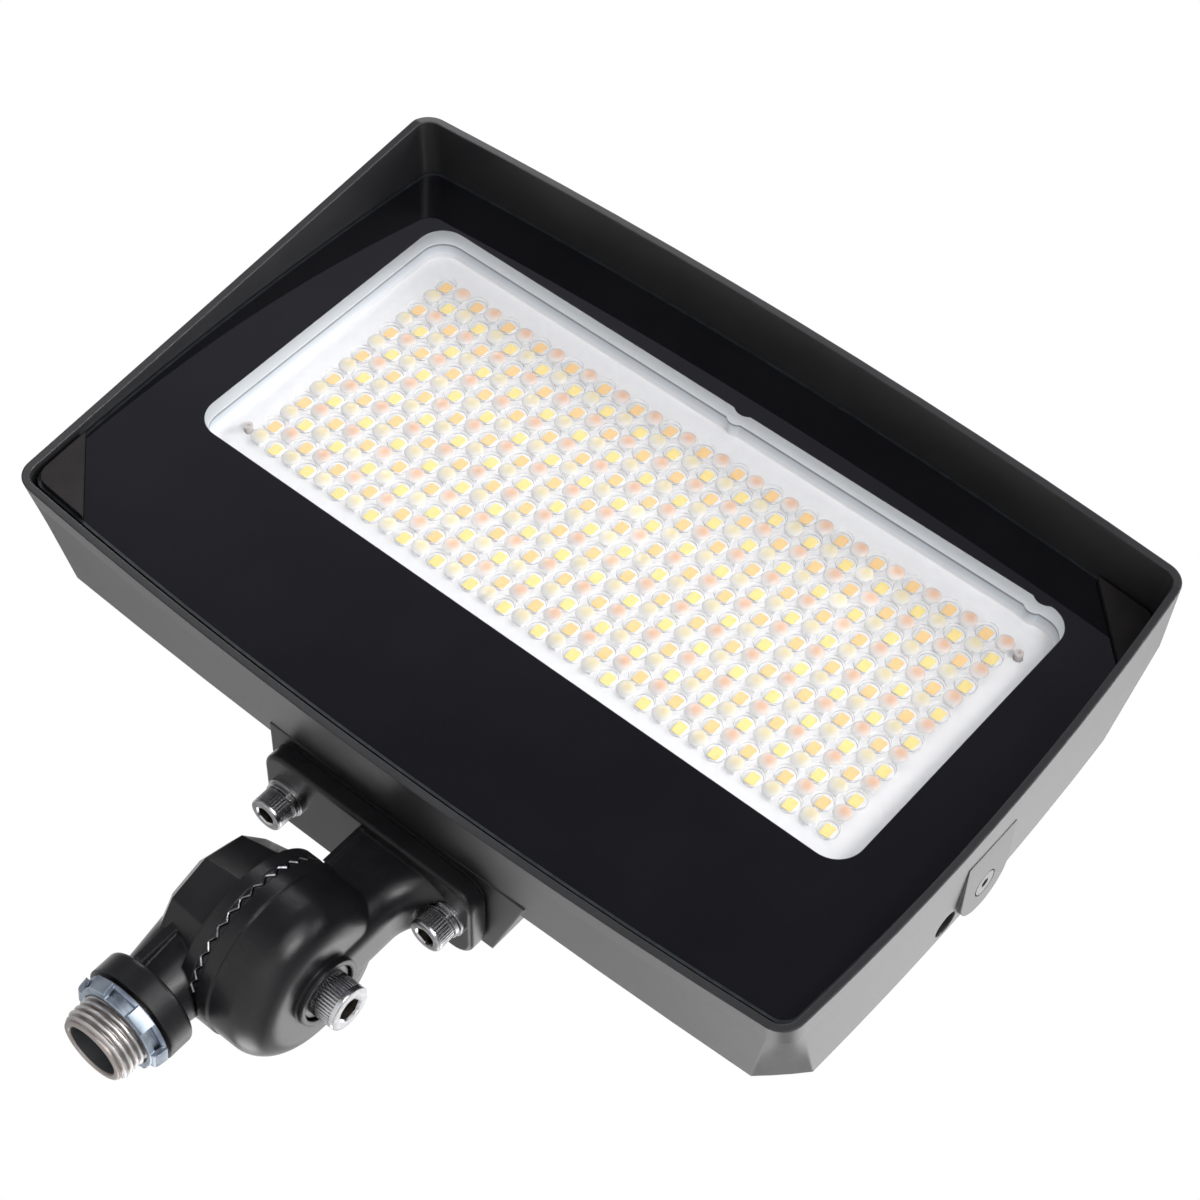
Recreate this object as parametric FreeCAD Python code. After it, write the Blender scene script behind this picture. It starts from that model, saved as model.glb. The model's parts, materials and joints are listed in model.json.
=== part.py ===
import FreeCAD, Part
import math
import os
from collections import namedtuple
from FreeCAD import Vector

# LED flood light on a knuckle mount. All sizes are millimetres.
# Frame: the origin is on the nipple's axis at the collar's shoulder, +Z runs up through the lamp head,
# and the glass looks along -Y.
# Head pieces are drawn flat first: x across the window, y up, z out of the glass.

# Head outline, seen from the front
HEAD_WIDTH = 264.4
HEAD_HEIGHT = 174.0
SIDE_BOW_RADIUS = 1040.0
TOP_BOW_RADIUS = 1650.0
BOTTOM_BOW_RADIUS = 1550.0
BACK_BOTTOM_BOW_RADIUS = 3100.0
FRONT_CORNER_RADIUS = 7.0
BACK_TOP_CORNER_RADIUS = 24.0
BACK_BOTTOM_CORNER_LEG = 12.0

# Head in side view: heights above the glass face, depths below it
VISOR_HEIGHT = 19.0
LIP_HEIGHT = 3.0
SWEEP_FROM_BOTTOM = 12.4
SWEEP_FROM_TOP = 9.6
BACK_DEPTH_BOTTOM = 36.5
BACK_DEPTH_TOP = 25.0
SIDE_DRAFT = 3.3
BOTTOM_DRAFT = 12.5
TOP_DRAFT = 25.0

# Walls and fins of the housing
RIM_WALL = 2.2
SKIRT_WALL = 3.5
FLOOR_THICKNESS = 4.0
LEDGE_WIDTH = 7.0
FIN_PITCH = 13.0
FIN_THICKNESS = 2.5

# Window and what lies under it
WINDOW_SIDE_MARGIN = 22.2
WINDOW_END_MARGIN = 37.0
WINDOW_CORNER_RADIUS = 8.0
WINDOW_RISE = 15.4
GLASS_THICKNESS = 4.0
FRIT_THICKNESS = 0.15
FRIT_TAB_RADIUS = 4.0
FRIT_TAB_REACH = 1.1
FRIT_TAB_SHIFT = 2.2
GLASS_GASKET_THICKNESS = 1.0
GLASS_EDGE_GAP = 0.9
LED_DEPTH = 8.9
LED_THICKNESS = 0.8
LED_COLUMNS = 34
LED_ROWS = 14
LED_FIELD_INSET_X = 12.8
LED_FIELD_INSET_Y = 12.07
LED_WIDTH = 2.8
LED_LENGTH = 3.5
BOARD_THICKNESS = 1.6
TRAY_FLANGE = 5.0
TRAY_LEDGE = 0.6
TRAY_FOOT_INSET = 1.2
TRAY_TOP_GAP = 0.4
TRAY_POST_RADIUS = 3.2
TRAY_POST_OUTSET = 1.5
TRAY_POST_MIDDLE_X = -2.0
TRAY_POST_INSET = 13.0
LENS_THICKNESS = 0.8
LENS_EDGE_WALL = 2.0
LENS_SCREW_INSET_X = 8.0
LENS_SCREW_INSET_Y = 12.7
CLAMP_LEG = 26.0
CLAMP_THICKNESS = 1.8

# Driver box on the back of the housing
BOX_WIDTH = 160.0
BOX_HEIGHT = 80.0
BOX_BELOW_WINDOW = 32.0
BOX_DEPTH = 60.0
BOX_WALL = 3.0
BOX_CORNER_RADIUS = 6.0
BOX_BOSS_RADIUS = 5.5
BOX_BOSS_INSET = 8.0
COVER_THICKNESS = 3.0
COVER_GASKET_THICKNESS = 1.0
COVER_GASKET_WIDTH = 5.0
COVER_SCREW_LENGTH = 12.0
DRIVER_LENGTH = 104.0
DRIVER_WIDTH = 46.0
DRIVER_HEIGHT = 24.0
DRIVER_EAR = 11.0
DRIVER_EAR_THICKNESS = 2.0
LEAD_RADIUS = 0.9
LEAD_SPACING = 4.0
LEAD_X = 25.0
LEAD_HOLE_RADIUS = 5.0
VENT_RADIUS = 6.0
VENT_CAP_RADIUS = 9.0
VENT_CAP_HEIGHT = 5.0

# Boss and screw on each side wall
SIDE_BOSS_RADIUS = 10.0
SIDE_BOSS_Y = -17.0
SIDE_BOSS_Z = -22.0
SIDE_BOSS_REACH = 12.0
SIDE_NOTCH_RADIUS = 4.0

# Knuckle
AXIS_HEIGHT = 36.3
AXIS_FROM_BOX_BACK = 16.7
JOINT_FACE_X = 9.8
JOINT_GAP = 0.3
SERRATION_WIDTH = 3.0
SERRATION_SETBACK = 0.8
HEAD_OFFSET_X = 11.9
DRUM_RADIUS = 25.0
CUP_DEPTH = 21.0
CUP_ROUND = 9.0
CUP_BAND = 5.0
CUP_STEP = 0.4
CUP_RING_RADIUS = 10.0
CUP_RING_HEIGHT = 2.0
CUP_RING_WALL = 1.5
BASE_BAND = 4.5
BASE_STEP = 1.5
BASE_DEPTH = 20.0
BASE_SIDES = 10
BASE_SHOULDER_RADIUS = 21.0
BASE_SHOULDER_DEPTH = 17.4
BASE_END_RADIUS = 17.0
NECK_LOW_RADIUS = 10.8
NECK_HIGH_RADIUS = 13.0
NECK_HEIGHT = 15.5
NECK_RIB_X = -3.4
NECK_RIB_WIDTH = 2.6
NECK_RIB_REACH = 13.3
COLLAR_RADIUS = 14.4
COLLAR_HEIGHT = 7.4
COLLAR_ROUND = 1.2

# Bracket plate and arm
PLATE_DISTANCE = 36.3
PLATE_WIDTH = 72.0
PLATE_DEPTH = 28.0
PLATE_THICKNESS = 5.5
PLATE_CORNER_RADIUS = 7.0
PLATE_EDGE_ROUND = 1.2
PLATE_SCREW_INSET = 8.0
MOUNT_GASKET_THICKNESS = 1.0
MOUNT_GASKET_INSET = 1.0
ARM_WIDTH = 22.0
ARM_HALF_DEPTH = 10.5
ARM_FILLET = 12.0
ARM_EDGE_ROUND = 7.0
ARM_RIB_WIDTH = 2.0
ARM_RIB_HEIGHT = 0.8
PAD_INSET = 6.9
PAD_FRONT_LEDGE = 1.3
PAD_BACK_LEDGE = 0.2
PAD_LEFT_LEDGE = 3.5
PAD_RIGHT_FRONT_LEDGE = 12.0
PAD_RIGHT_BACK_LEDGE = 1.5

# Threaded nipple and its locknut
THREAD_RADIUS = 10.65
THREAD_LENGTH = 13.7
THREAD_LEAD_IN = 2.8
THREAD_LEAD_IN_STEP = 1.3
THREAD_GROOVE_WIDTH = 0.9
THREAD_GROOVE_DEPTH = 0.8
NIPPLE_BORE_RADIUS = 7.65
NIPPLE_SOCKET_RADIUS = 10.0
NIPPLE_SOCKET_DEPTH = 8.0
WIRE_BORE_RADIUS = 6.0
LOCKNUT_FROM_SHOULDER = 0.9
LOCKNUT_THICKNESS = 4.6
LOCKNUT_RADIUS = 12.4
LOCKNUT_FLANGE = 1.2
LOCKNUT_FLANGE_RADIUS = 13.3
LOCKNUT_TABS = 6
LOCKNUT_TAB_RADIUS = 14.2
LOCKNUT_TAB_WIDTH = 6.5
LOCKNUT_TAB_BACK = 0.4
LOCKNUT_TAB_FRONT = 3.8
LOCKNUT_TURN = 7.0

# Screws: thread radius, head radius, head height, width of the hex socket across its flats
Screw = namedtuple("Screw", "radius head_radius head_height across")
M2 = Screw(1.0, 1.25, 0.5, 0.8)
M4 = Screw(2.0, 3.8, 2.6, 2.5)
M6 = Screw(3.0, 5.0, 6.0, 5.0)
M8 = Screw(4.0, 6.5, 8.0, 6.0)
SOCKET_DEPTH_RATIO = 0.55
DRIVER_SCREW_LENGTH = 5.0
SIDE_SCREW_LENGTH = 9.0
PLATE_SCREW_LENGTH = 18.0
M6_WASHER_RADIUS = 6.0
M6_WASHER_THICKNESS = 1.2
M6_SPRING_RADIUS = 5.4
M6_SPRING_THICKNESS = 1.5
M8_WASHER_RADIUS = 7.8
M8_WASHER_THICKNESS = 0.8
M8_NUT_ACROSS = 13.0
M8_NUT_HEIGHT = 6.5
NUT_PROUD = 3.5
BOLT_PROUD = 1.5

# Clearances
SNUG = 0.02
THREAD_FIT = 0.05
SLIP = 0.3
HOLE_FIT = 0.3

# How far the head's outer shape is drawn past its visor and its back before it is cut to them
LOFT_SPARE_TOP = 1.0
LOFT_SPARE_BOTTOM = 4.0

# Sizes that follow from the ones above
WINDOW_WIDTH = HEAD_WIDTH - 2 * WINDOW_SIDE_MARGIN
WINDOW_HEIGHT = HEAD_HEIGHT - 2 * WINDOW_END_MARGIN
LED_COLUMN_PITCH = (WINDOW_WIDTH - 2 * LED_FIELD_INSET_X) / (LED_COLUMNS - 1)
LED_ROW_PITCH = (WINDOW_HEIGHT - 2 * LED_FIELD_INSET_Y) / (LED_ROWS - 1)
RIM_TOP = HEAD_HEIGHT / 2 - WINDOW_RISE
RIM_BOTTOM = -HEAD_HEIGHT / 2 - WINDOW_RISE
SEAT_LEVEL = -GLASS_THICKNESS - FRIT_THICKNESS - GLASS_GASKET_THICKNESS
BOARD_TOP = -LED_DEPTH - LED_THICKNESS
FLOOR_TOP = BOARD_TOP - BOARD_THICKNESS
FLOOR_BOTTOM = FLOOR_TOP - FLOOR_THICKNESS
HULL_TOP = VISOR_HEIGHT + LOFT_SPARE_TOP
HULL_BOTTOM = -BACK_DEPTH_BOTTOM - LOFT_SPARE_BOTTOM
PAD_Y = RIM_BOTTOM + PAD_INSET
PLATE_Z = AXIS_HEIGHT + PLATE_DISTANCE
PAD_Z = PLATE_Z + PLATE_THICKNESS + MOUNT_GASKET_THICKNESS
WINDOW_Z = PAD_Z - PAD_Y
AXIS_BEHIND_GLASS = BOX_DEPTH - AXIS_FROM_BOX_BACK
GLASS_FACE_Y = -AXIS_BEHIND_GLASS
PLATE_SCREW_X = PLATE_WIDTH / 2 - PLATE_SCREW_INSET
LENS_SCREW_X = WINDOW_WIDTH / 2 - LENS_SCREW_INSET_X
LENS_SCREW_Y = WINDOW_HEIGHT / 2 - LENS_SCREW_INSET_Y
BOX_LOW = -BOX_BELOW_WINDOW - BOX_HEIGHT / 2
COVER_LEVEL = -BOX_DEPTH - COVER_GASKET_THICKNESS
TRAY_WIDTH = WINDOW_WIDTH + 2 * TRAY_FLANGE
TRAY_HEIGHT = WINDOW_HEIGHT + 2 * TRAY_FLANGE
LENS_WIDTH = WINDOW_WIDTH - 2 * TRAY_FOOT_INSET - 2 * SLIP
LENS_HEIGHT = WINDOW_HEIGHT - 2 * TRAY_FOOT_INSET - 2 * SLIP
LENS_TOP = -LED_DEPTH + SLIP + LENS_THICKNESS

X_AXIS = Vector(1, 0, 0)
Y_AXIS = Vector(0, 1, 0)
Z_AXIS = Vector(0, 0, 1)


# Basic shapes
def centred_box(width, height, low, high, middle=(0, 0)):
    corner = Vector(middle[0] - width / 2, middle[1] - height / 2, low)
    return Part.makeBox(width, height, high - low, corner)


def rounded_wire(width, height, radius, level, middle=(0, 0)):
    box = centred_box(width, height, level, level + 1, middle)
    upright = [edge for edge in box.Edges if abs(edge.tangentAt(edge.FirstParameter).z) > 0.9]
    rounded = box.makeFillet(radius, upright)
    lowest = min(rounded.Faces, key=lambda face: face.CenterOfMass.z)
    return lowest.OuterWire


def rounded_block(width, height, radius, low, high, middle=(0, 0)):
    face = Part.Face(rounded_wire(width, height, radius, low, middle))
    return face.extrude(Z_AXIS * (high - low))


def prism(points, direction):
    return Part.Face(Part.makePolygon(points + points[:1])).extrude(direction)


def hexagon(across, height, base, direction):
    radius = across / math.sqrt(3)
    angles = [k * math.pi / 3 for k in range(6)]
    points = [Vector(radius * math.cos(angle), radius * math.sin(angle), 0) for angle in angles]
    body = prism(points, Z_AXIS * height)
    body.Placement = FreeCAD.Placement(base, FreeCAD.Rotation(Z_AXIS, direction))
    return body


def screw(kind, length, base, direction):
    """Socket head screw: the head stands on base and points along direction, the shank runs back."""
    head = Part.makeCylinder(kind.head_radius, kind.head_height, base, direction)
    shank = Part.makeCylinder(kind.radius, length, base, direction * -1)
    depth = kind.head_height * SOCKET_DEPTH_RATIO
    socket = hexagon(kind.across, depth, base + direction * (kind.head_height - depth), direction)
    return head.fuse(shank).cut(socket).removeSplitter()


def ring(outer, inner, height, base, direction):
    hole = Part.makeCylinder(inner, height, base, direction)
    return Part.makeCylinder(outer, height, base, direction).cut(hole)


def in_frame(shape):
    """Stand a head piece up: its z becomes -Y and its y becomes Z."""
    placed = shape.copy()
    placed.rotate(Vector(0, 0, 0), X_AXIS, 90)
    placed.translate(Vector(HEAD_OFFSET_X, GLASS_FACE_Y, WINDOW_Z))
    return placed


def save(node, shape):
    shape.exportStep("parts/" + node + ".step")


# Outline of the head
def corner_circle(first, first_radius, second, second_radius, near):
    """Centre of the circle that touches two bows from inside, on the side of the point near."""
    across = second - first
    distance = across.Length
    along = (first_radius ** 2 - second_radius ** 2 + distance ** 2) / (2 * distance)
    offset = math.sqrt(first_radius ** 2 - along ** 2)
    across.normalize()
    foot = first + across * along
    sideways = Vector(-across.y, across.x, 0) * offset
    return min([foot + sideways, foot - sideways], key=lambda point: point.distanceToPoint(near))


def arc_about(centre, radius, start, end):
    outward = (start + end) * 0.5 - centre
    outward.normalize()
    return Part.Arc(start, centre + outward * radius, end).toShape()


def bow_point(centre, radius, through):
    outward = through - centre
    outward.normalize()
    return centre + outward * radius


def bowed_wire(half_width, bottom, top, level, bottom_bow, top_corner, bottom_corner, cut_bottom):
    """Four bowed sides, counterclockwise from the right side; the bottom corners are round or cut straight."""
    middle = (top + bottom) / 2
    bows = [
        (Vector(half_width - SIDE_BOW_RADIUS, middle, level), SIDE_BOW_RADIUS),
        (Vector(0, top - TOP_BOW_RADIUS, level), TOP_BOW_RADIUS),
        (Vector(SIDE_BOW_RADIUS - half_width, middle, level), SIDE_BOW_RADIUS),
        (Vector(0, bottom + bottom_bow, level), bottom_bow),
    ]
    corners = [
        (half_width, top, top_corner),
        (-half_width, top, top_corner),
        (-half_width, bottom, bottom_corner),
        (half_width, bottom, bottom_corner),
    ]
    joints = []
    for k, (x, y, corner) in enumerate(corners):
        centre, radius = bows[k]
        next_centre, next_radius = bows[(k + 1) % 4]
        near = Vector(x, y, level)
        middle_point = corner_circle(centre, radius - corner, next_centre, next_radius - corner, near)
        start = bow_point(centre, radius, middle_point)
        end = bow_point(next_centre, next_radius, middle_point)
        joints.append((middle_point, start, end))
    edges = []
    for k, (centre, radius) in enumerate(bows):
        middle_point, start, end = joints[k]
        x, y, corner = corners[k]
        edges.append(arc_about(centre, radius, joints[k - 1][2], start))
        if cut_bottom and y == bottom:
            edges.append(Part.makeLine(start, end))
        else:
            edges.append(arc_about(middle_point, corner, start, end))
    return Part.Wire(edges)


def hull_wire(level, inset, bottom_bow, top_corner, bottom_corner, cut_bottom=False):
    """Outline of the head's outer wall at a level, moved inwards by inset."""
    below_lip = LIP_HEIGHT - level
    below_seat = max(0.0, SEAT_LEVEL - level)
    half_width = HEAD_WIDTH / 2 - below_lip * math.tan(math.radians(SIDE_DRAFT)) - inset
    bottom = RIM_BOTTOM + below_lip * math.tan(math.radians(BOTTOM_DRAFT)) + inset
    top = RIM_TOP - below_seat * math.tan(math.radians(TOP_DRAFT)) - inset
    return bowed_wire(half_width, bottom, top, level, bottom_bow, top_corner, bottom_corner, cut_bottom)


def front_wire(level, inset):
    """Outline of the head's wall from the glass seat up."""
    corner = FRONT_CORNER_RADIUS - inset
    return hull_wire(level, inset, BOTTOM_BOW_RADIUS, corner, corner)


def hull_plate(inset, low, high):
    """Flat plate with the outline that the pocket has at the glass seat."""
    corner = FRONT_CORNER_RADIUS - RIM_WALL
    wire = hull_wire(SEAT_LEVEL, RIM_WALL + inset, BOTTOM_BOW_RADIUS, corner, corner)
    plate = Part.Face(wire).extrude(Z_AXIS * (high - low))
    plate.translate(Z_AXIS * (low - SEAT_LEVEL))
    return plate


# Housing
def side_profile():
    """Head in side view: low lip, sweep up to the visor, slanted back."""
    sweep_low = RIM_BOTTOM + SWEEP_FROM_BOTTOM
    sweep_high = RIM_TOP - SWEEP_FROM_TOP
    run = sweep_high - sweep_low
    rise = VISOR_HEIGHT - LIP_HEIGHT
    radius = (run ** 2 + rise ** 2) / (2 * rise)
    half_rise = radius - math.sqrt(radius ** 2 - (run / 2) ** 2)
    x = -HEAD_WIDTH
    lip_end = Vector(x, sweep_low, LIP_HEIGHT)
    visor_start = Vector(x, sweep_high, VISOR_HEIGHT)
    sweep_middle = Vector(x, sweep_low + run / 2, LIP_HEIGHT + half_rise)
    sweep = Part.Arc(lip_end, sweep_middle, visor_start).toShape()
    beyond = HEAD_HEIGHT
    slope = (BACK_DEPTH_BOTTOM - BACK_DEPTH_TOP) / HEAD_HEIGHT
    outside = [
        visor_start,
        Vector(x, RIM_TOP + beyond, VISOR_HEIGHT),
        Vector(x, RIM_TOP + beyond, -BACK_DEPTH_TOP + slope * beyond),
        Vector(x, RIM_BOTTOM - beyond, -BACK_DEPTH_BOTTOM - slope * beyond),
        Vector(x, RIM_BOTTOM - beyond, LIP_HEIGHT),
        lip_end,
    ]
    wire = Part.Wire(Part.makePolygon(outside).Edges + [sweep])
    return Part.Face(wire).extrude(X_AXIS * 2 * HEAD_WIDTH)


def hull():
    back_wire = hull_wire(HULL_BOTTOM, 0, BACK_BOTTOM_BOW_RADIUS, BACK_TOP_CORNER_RADIUS,
                          BACK_BOTTOM_CORNER_LEG, True)
    wires = [front_wire(HULL_TOP, 0), front_wire(SEAT_LEVEL, 0), back_wire]
    return Part.makeLoft(wires, True, True).common(side_profile())


def glass_pocket():
    wires = [front_wire(SEAT_LEVEL, RIM_WALL), front_wire(HULL_TOP, RIM_WALL)]
    return Part.makeLoft(wires, True, True)


def box_block(inset, low, high):
    width = BOX_WIDTH - 2 * inset
    height = BOX_HEIGHT - 2 * inset
    radius = BOX_CORNER_RADIUS - inset
    return rounded_block(width, height, radius, low, high, (0, -BOX_BELOW_WINDOW))


def fin_slots():
    """Room between the fins: everything inside the skirt that is neither fin nor driver box."""
    bottom_corner = BACK_BOTTOM_CORNER_LEG + SKIRT_WALL
    wires = [hull_wire(level, SKIRT_WALL, BOTTOM_BOW_RADIUS, BACK_TOP_CORNER_RADIUS, bottom_corner)
             for level in (FLOOR_BOTTOM, HULL_BOTTOM)]
    room = Part.makeLoft(wires, True, True)
    room = room.cut([box_block(0, HULL_BOTTOM, FLOOR_BOTTOM), mount_pad()])
    count = int(HEAD_WIDTH / FIN_PITCH) + 1
    slots = []
    for k in range(count):
        middle = ((k - (count - 1) / 2) * FIN_PITCH, 0)
        width = FIN_PITCH - FIN_THICKNESS
        slots.append(centred_box(width, 2 * HEAD_HEIGHT, HULL_BOTTOM, FLOOR_BOTTOM, middle))
    return room.common(Part.makeCompound(slots))


def mount_pad():
    """Block under the driver box that the bracket plate is screwed to."""
    half_width = PLATE_WIDTH / 2
    left = -half_width - PAD_LEFT_LEDGE
    front = GLASS_FACE_Y + PLATE_DEPTH / 2 + PAD_FRONT_LEDGE
    back = GLASS_FACE_Y - PLATE_DEPTH / 2 - PAD_BACK_LEDGE
    points = [
        Vector(left, PAD_Y, front),
        Vector(half_width + PAD_RIGHT_FRONT_LEDGE, PAD_Y, front),
        Vector(half_width + PAD_RIGHT_BACK_LEDGE, PAD_Y, back),
        Vector(left, PAD_Y, back),
    ]
    return prism(points, Y_AXIS * (BOX_LOW + BOX_WALL - PAD_Y))


def plate_room():
    """Clear space below the pad's face for the bracket plate and its gasket."""
    depth = PLATE_THICKNESS + MOUNT_GASKET_THICKNESS
    corner = Vector(-PLATE_WIDTH / 2 - SLIP, PAD_Y - depth, GLASS_FACE_Y - PLATE_DEPTH / 2 - SLIP)
    return Part.makeBox(PLATE_WIDTH + 2 * SLIP, depth, PLATE_DEPTH + 2 * SLIP, corner)


def box_boss_points():
    x = BOX_WIDTH / 2 - BOX_BOSS_INSET
    y = BOX_HEIGHT / 2 - BOX_BOSS_INSET
    return [(dx, dy - BOX_BELOW_WINDOW) for dx in (-x, 0, x) for dy in (-y, y)]


def side_face_x():
    return HEAD_WIDTH / 2 - SLIP


def side_boss(side):
    reach = SIDE_BOSS_REACH
    x = side * (side_face_x() - reach / 2)
    upright = centred_box(reach, 2 * SIDE_BOSS_RADIUS, SIDE_BOSS_Z, SEAT_LEVEL, (x, SIDE_BOSS_Y))
    start = Vector(side * (side_face_x() - reach), SIDE_BOSS_Y, SIDE_BOSS_Z)
    end = Part.makeCylinder(SIDE_BOSS_RADIUS, reach, start, X_AXIS * side)
    return upright.fuse(end)


def side_screw_seat(side):
    return Vector(side * (side_face_x() - M4.head_height), SIDE_BOSS_Y, SIDE_BOSS_Z)


def tapped_hole(kind, depth, start, direction):
    return Part.makeCylinder(kind.radius + THREAD_FIT, depth, start, direction)


def clear_hole(kind, depth, start, direction):
    return Part.makeCylinder(kind.radius + HOLE_FIT, depth, start, direction)


def side_holes(side):
    """Recessed screw hole and half-round notch of a side boss, and a hole for a bracket screw."""
    outward = X_AXIS * side
    seat = side_screw_seat(side)
    recess = Part.makeCylinder(M4.head_radius + HOLE_FIT, M4.head_height + SLIP, seat, outward)
    notch_x = side * (side_face_x() - SIDE_BOSS_REACH / 2)
    notch_y = SIDE_BOSS_Y - SIDE_BOSS_RADIUS - SIDE_NOTCH_RADIUS
    notch_base = Vector(notch_x, notch_y, SIDE_BOSS_Z - SIDE_NOTCH_RADIUS)
    notch = Part.makeCylinder(SIDE_NOTCH_RADIUS, SIDE_BOSS_REACH, notch_base, outward)
    bracket_hole = Vector(side * PLATE_SCREW_X, PAD_Y, GLASS_FACE_Y)
    return [
        recess,
        notch,
        tapped_hole(M4, SIDE_SCREW_LENGTH, seat, outward * -1),
        tapped_hole(M6, PLATE_SCREW_LENGTH, bracket_hole, Y_AXIS),
    ]


def housing_holes():
    holes = side_holes(-1) + side_holes(1)
    for x, y in box_boss_points():
        holes.append(tapped_hole(M4, COVER_SCREW_LENGTH, Vector(x, y, -BOX_DEPTH), Z_AXIS))
    for x, y in driver_screw_points():
        depth = DRIVER_SCREW_LENGTH - DRIVER_EAR_THICKNESS + HOLE_FIT
        holes.append(tapped_hole(M4, depth, Vector(x, y, FLOOR_BOTTOM), Z_AXIS))
    for x, y in lens_screw_points():
        holes.append(tapped_hole(M2, FLOOR_THICKNESS, Vector(x, y, FLOOR_BOTTOM), Z_AXIS))
    lead_hole = Vector(LEAD_X, lead_y(), FLOOR_BOTTOM)
    holes.append(Part.makeCylinder(LEAD_HOLE_RADIUS, FLOOR_THICKNESS, lead_hole, Z_AXIS))
    wire_hole = Vector(wire_centre_x() - HEAD_OFFSET_X, PAD_Y, GLASS_FACE_Y)
    holes.append(Part.makeCylinder(WIRE_BORE_RADIUS, BOX_LOW + 2 * BOX_WALL - PAD_Y, wire_hole, Y_AXIS))
    return holes


def housing():
    shell = hull().cut(fin_slots())
    bosses = [Part.makeCylinder(BOX_BOSS_RADIUS, BOX_DEPTH + FLOOR_BOTTOM, Vector(x, y, -BOX_DEPTH), Z_AXIS)
              for x, y in box_boss_points()]
    box = box_block(0, -BOX_DEPTH, FLOOR_BOTTOM).fuse(mount_pad())
    inside = box_block(BOX_WALL, -BOX_DEPTH, FLOOR_BOTTOM).cut(bosses)
    shell = shell.fuse([box, side_boss(-1), side_boss(1)])
    cavity = hull_plate(LEDGE_WIDTH, FLOOR_TOP, SEAT_LEVEL)
    shell = shell.cut([glass_pocket(), cavity, inside, plate_room()])
    return shell.cut(housing_holes()).removeSplitter()


# Glass and its edge
def window_block(low, high):
    return rounded_block(WINDOW_WIDTH, WINDOW_HEIGHT, WINDOW_CORNER_RADIUS, low, high)


def front_glass():
    return hull_plate(GLASS_EDGE_GAP, -FRIT_THICKNESS - GLASS_THICKNESS, -FRIT_THICKNESS)


def frit_tabs():
    """Round tabs of the printed border that cover the posts of the tray."""
    y = WINDOW_HEIGHT / 2 + FRIT_TAB_RADIUS - FRIT_TAB_REACH
    tabs = []
    for x in tray_post_places():
        base = Vector(x + FRIT_TAB_SHIFT, y, -FRIT_THICKNESS)
        tabs.append(Part.makeCylinder(FRIT_TAB_RADIUS, FRIT_THICKNESS, base, Z_AXIS))
    return tabs


def glass_frit():
    """Printed border on the outer face of the glass."""
    opening = window_block(-FRIT_THICKNESS, 0).cut(frit_tabs())
    return hull_plate(GLASS_EDGE_GAP, -FRIT_THICKNESS, 0).cut(opening)


def glass_gasket():
    high = -GLASS_THICKNESS - FRIT_THICKNESS
    return hull_plate(GLASS_EDGE_GAP, SEAT_LEVEL, high).cut(hull_plate(LEDGE_WIDTH, SEAT_LEVEL, high))


def glass_sealant():
    outer = hull_plate(THREAD_FIT, SEAT_LEVEL, 0)
    return outer.cut(hull_plate(GLASS_EDGE_GAP - THREAD_FIT, SEAT_LEVEL, 0))


def corner_clamp(side):
    """Triangle over the glass in the upper right corner (side 1) or the lower left corner (side -1)."""
    plate = hull_plate(GLASS_EDGE_GAP, 0, CLAMP_THICKNESS)
    box = plate.BoundBox
    x = box.XMax if side > 0 else box.XMin
    y = box.YMax if side > 0 else box.YMin
    reach = CLAMP_LEG * side
    spare = CLAMP_LEG / 2 * side
    points = [
        Vector(x + spare, y - reach - spare, 0),
        Vector(x + spare, y + spare, 0),
        Vector(x - reach - spare, y + spare, 0),
    ]
    return plate.common(prism(points, Z_AXIS * CLAMP_THICKNESS))


# LED board, tray and lens
def lens_screw_points():
    """One screw at the lower left and one at the upper right of the LED field."""
    return [(-LENS_SCREW_X, -LENS_SCREW_Y), (LENS_SCREW_X, LENS_SCREW_Y)]


def lead_y():
    return -BOX_BELOW_WINDOW + DRIVER_WIDTH / 2 + LEAD_HOLE_RADIUS + SLIP


def lead_points():
    return [(LEAD_X - LEAD_SPACING / 2, lead_y()), (LEAD_X + LEAD_SPACING / 2, lead_y())]


def led_board():
    board = centred_box(TRAY_WIDTH, TRAY_HEIGHT, FLOOR_TOP, BOARD_TOP)
    holes = [clear_hole(M2, BOARD_THICKNESS, Vector(x, y, FLOOR_TOP), Z_AXIS) for x, y in lens_screw_points()]
    return board.cut(holes)


def led_rows(first):
    """Every second row of LEDs, from the row first."""
    leds = []
    for row in range(first, LED_ROWS, 2):
        y = (row - (LED_ROWS - 1) / 2) * LED_ROW_PITCH
        for column in range(LED_COLUMNS):
            x = (column - (LED_COLUMNS - 1) / 2) * LED_COLUMN_PITCH
            leds.append(centred_box(LED_WIDTH, LED_LENGTH, BOARD_TOP, -LED_DEPTH, (x, y)))
    return Part.makeCompound(leds)


def tray_wire(inset, level):
    """Window outline moved inwards by inset."""
    width = WINDOW_WIDTH - 2 * inset
    height = WINDOW_HEIGHT - 2 * inset
    return rounded_wire(width, height, WINDOW_CORNER_RADIUS - inset, level)


def tray_post_places():
    return (TRAY_POST_MIDDLE_X, WINDOW_WIDTH / 2 - TRAY_POST_INSET)


def tray_posts(radius, low, high):
    """Two posts that stand out of the upper wall of the tray."""
    y = WINDOW_HEIGHT / 2 + TRAY_POST_OUTSET
    return [Part.makeCylinder(radius, high - low, Vector(x, y, low), Z_AXIS) for x in tray_post_places()]


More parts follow.
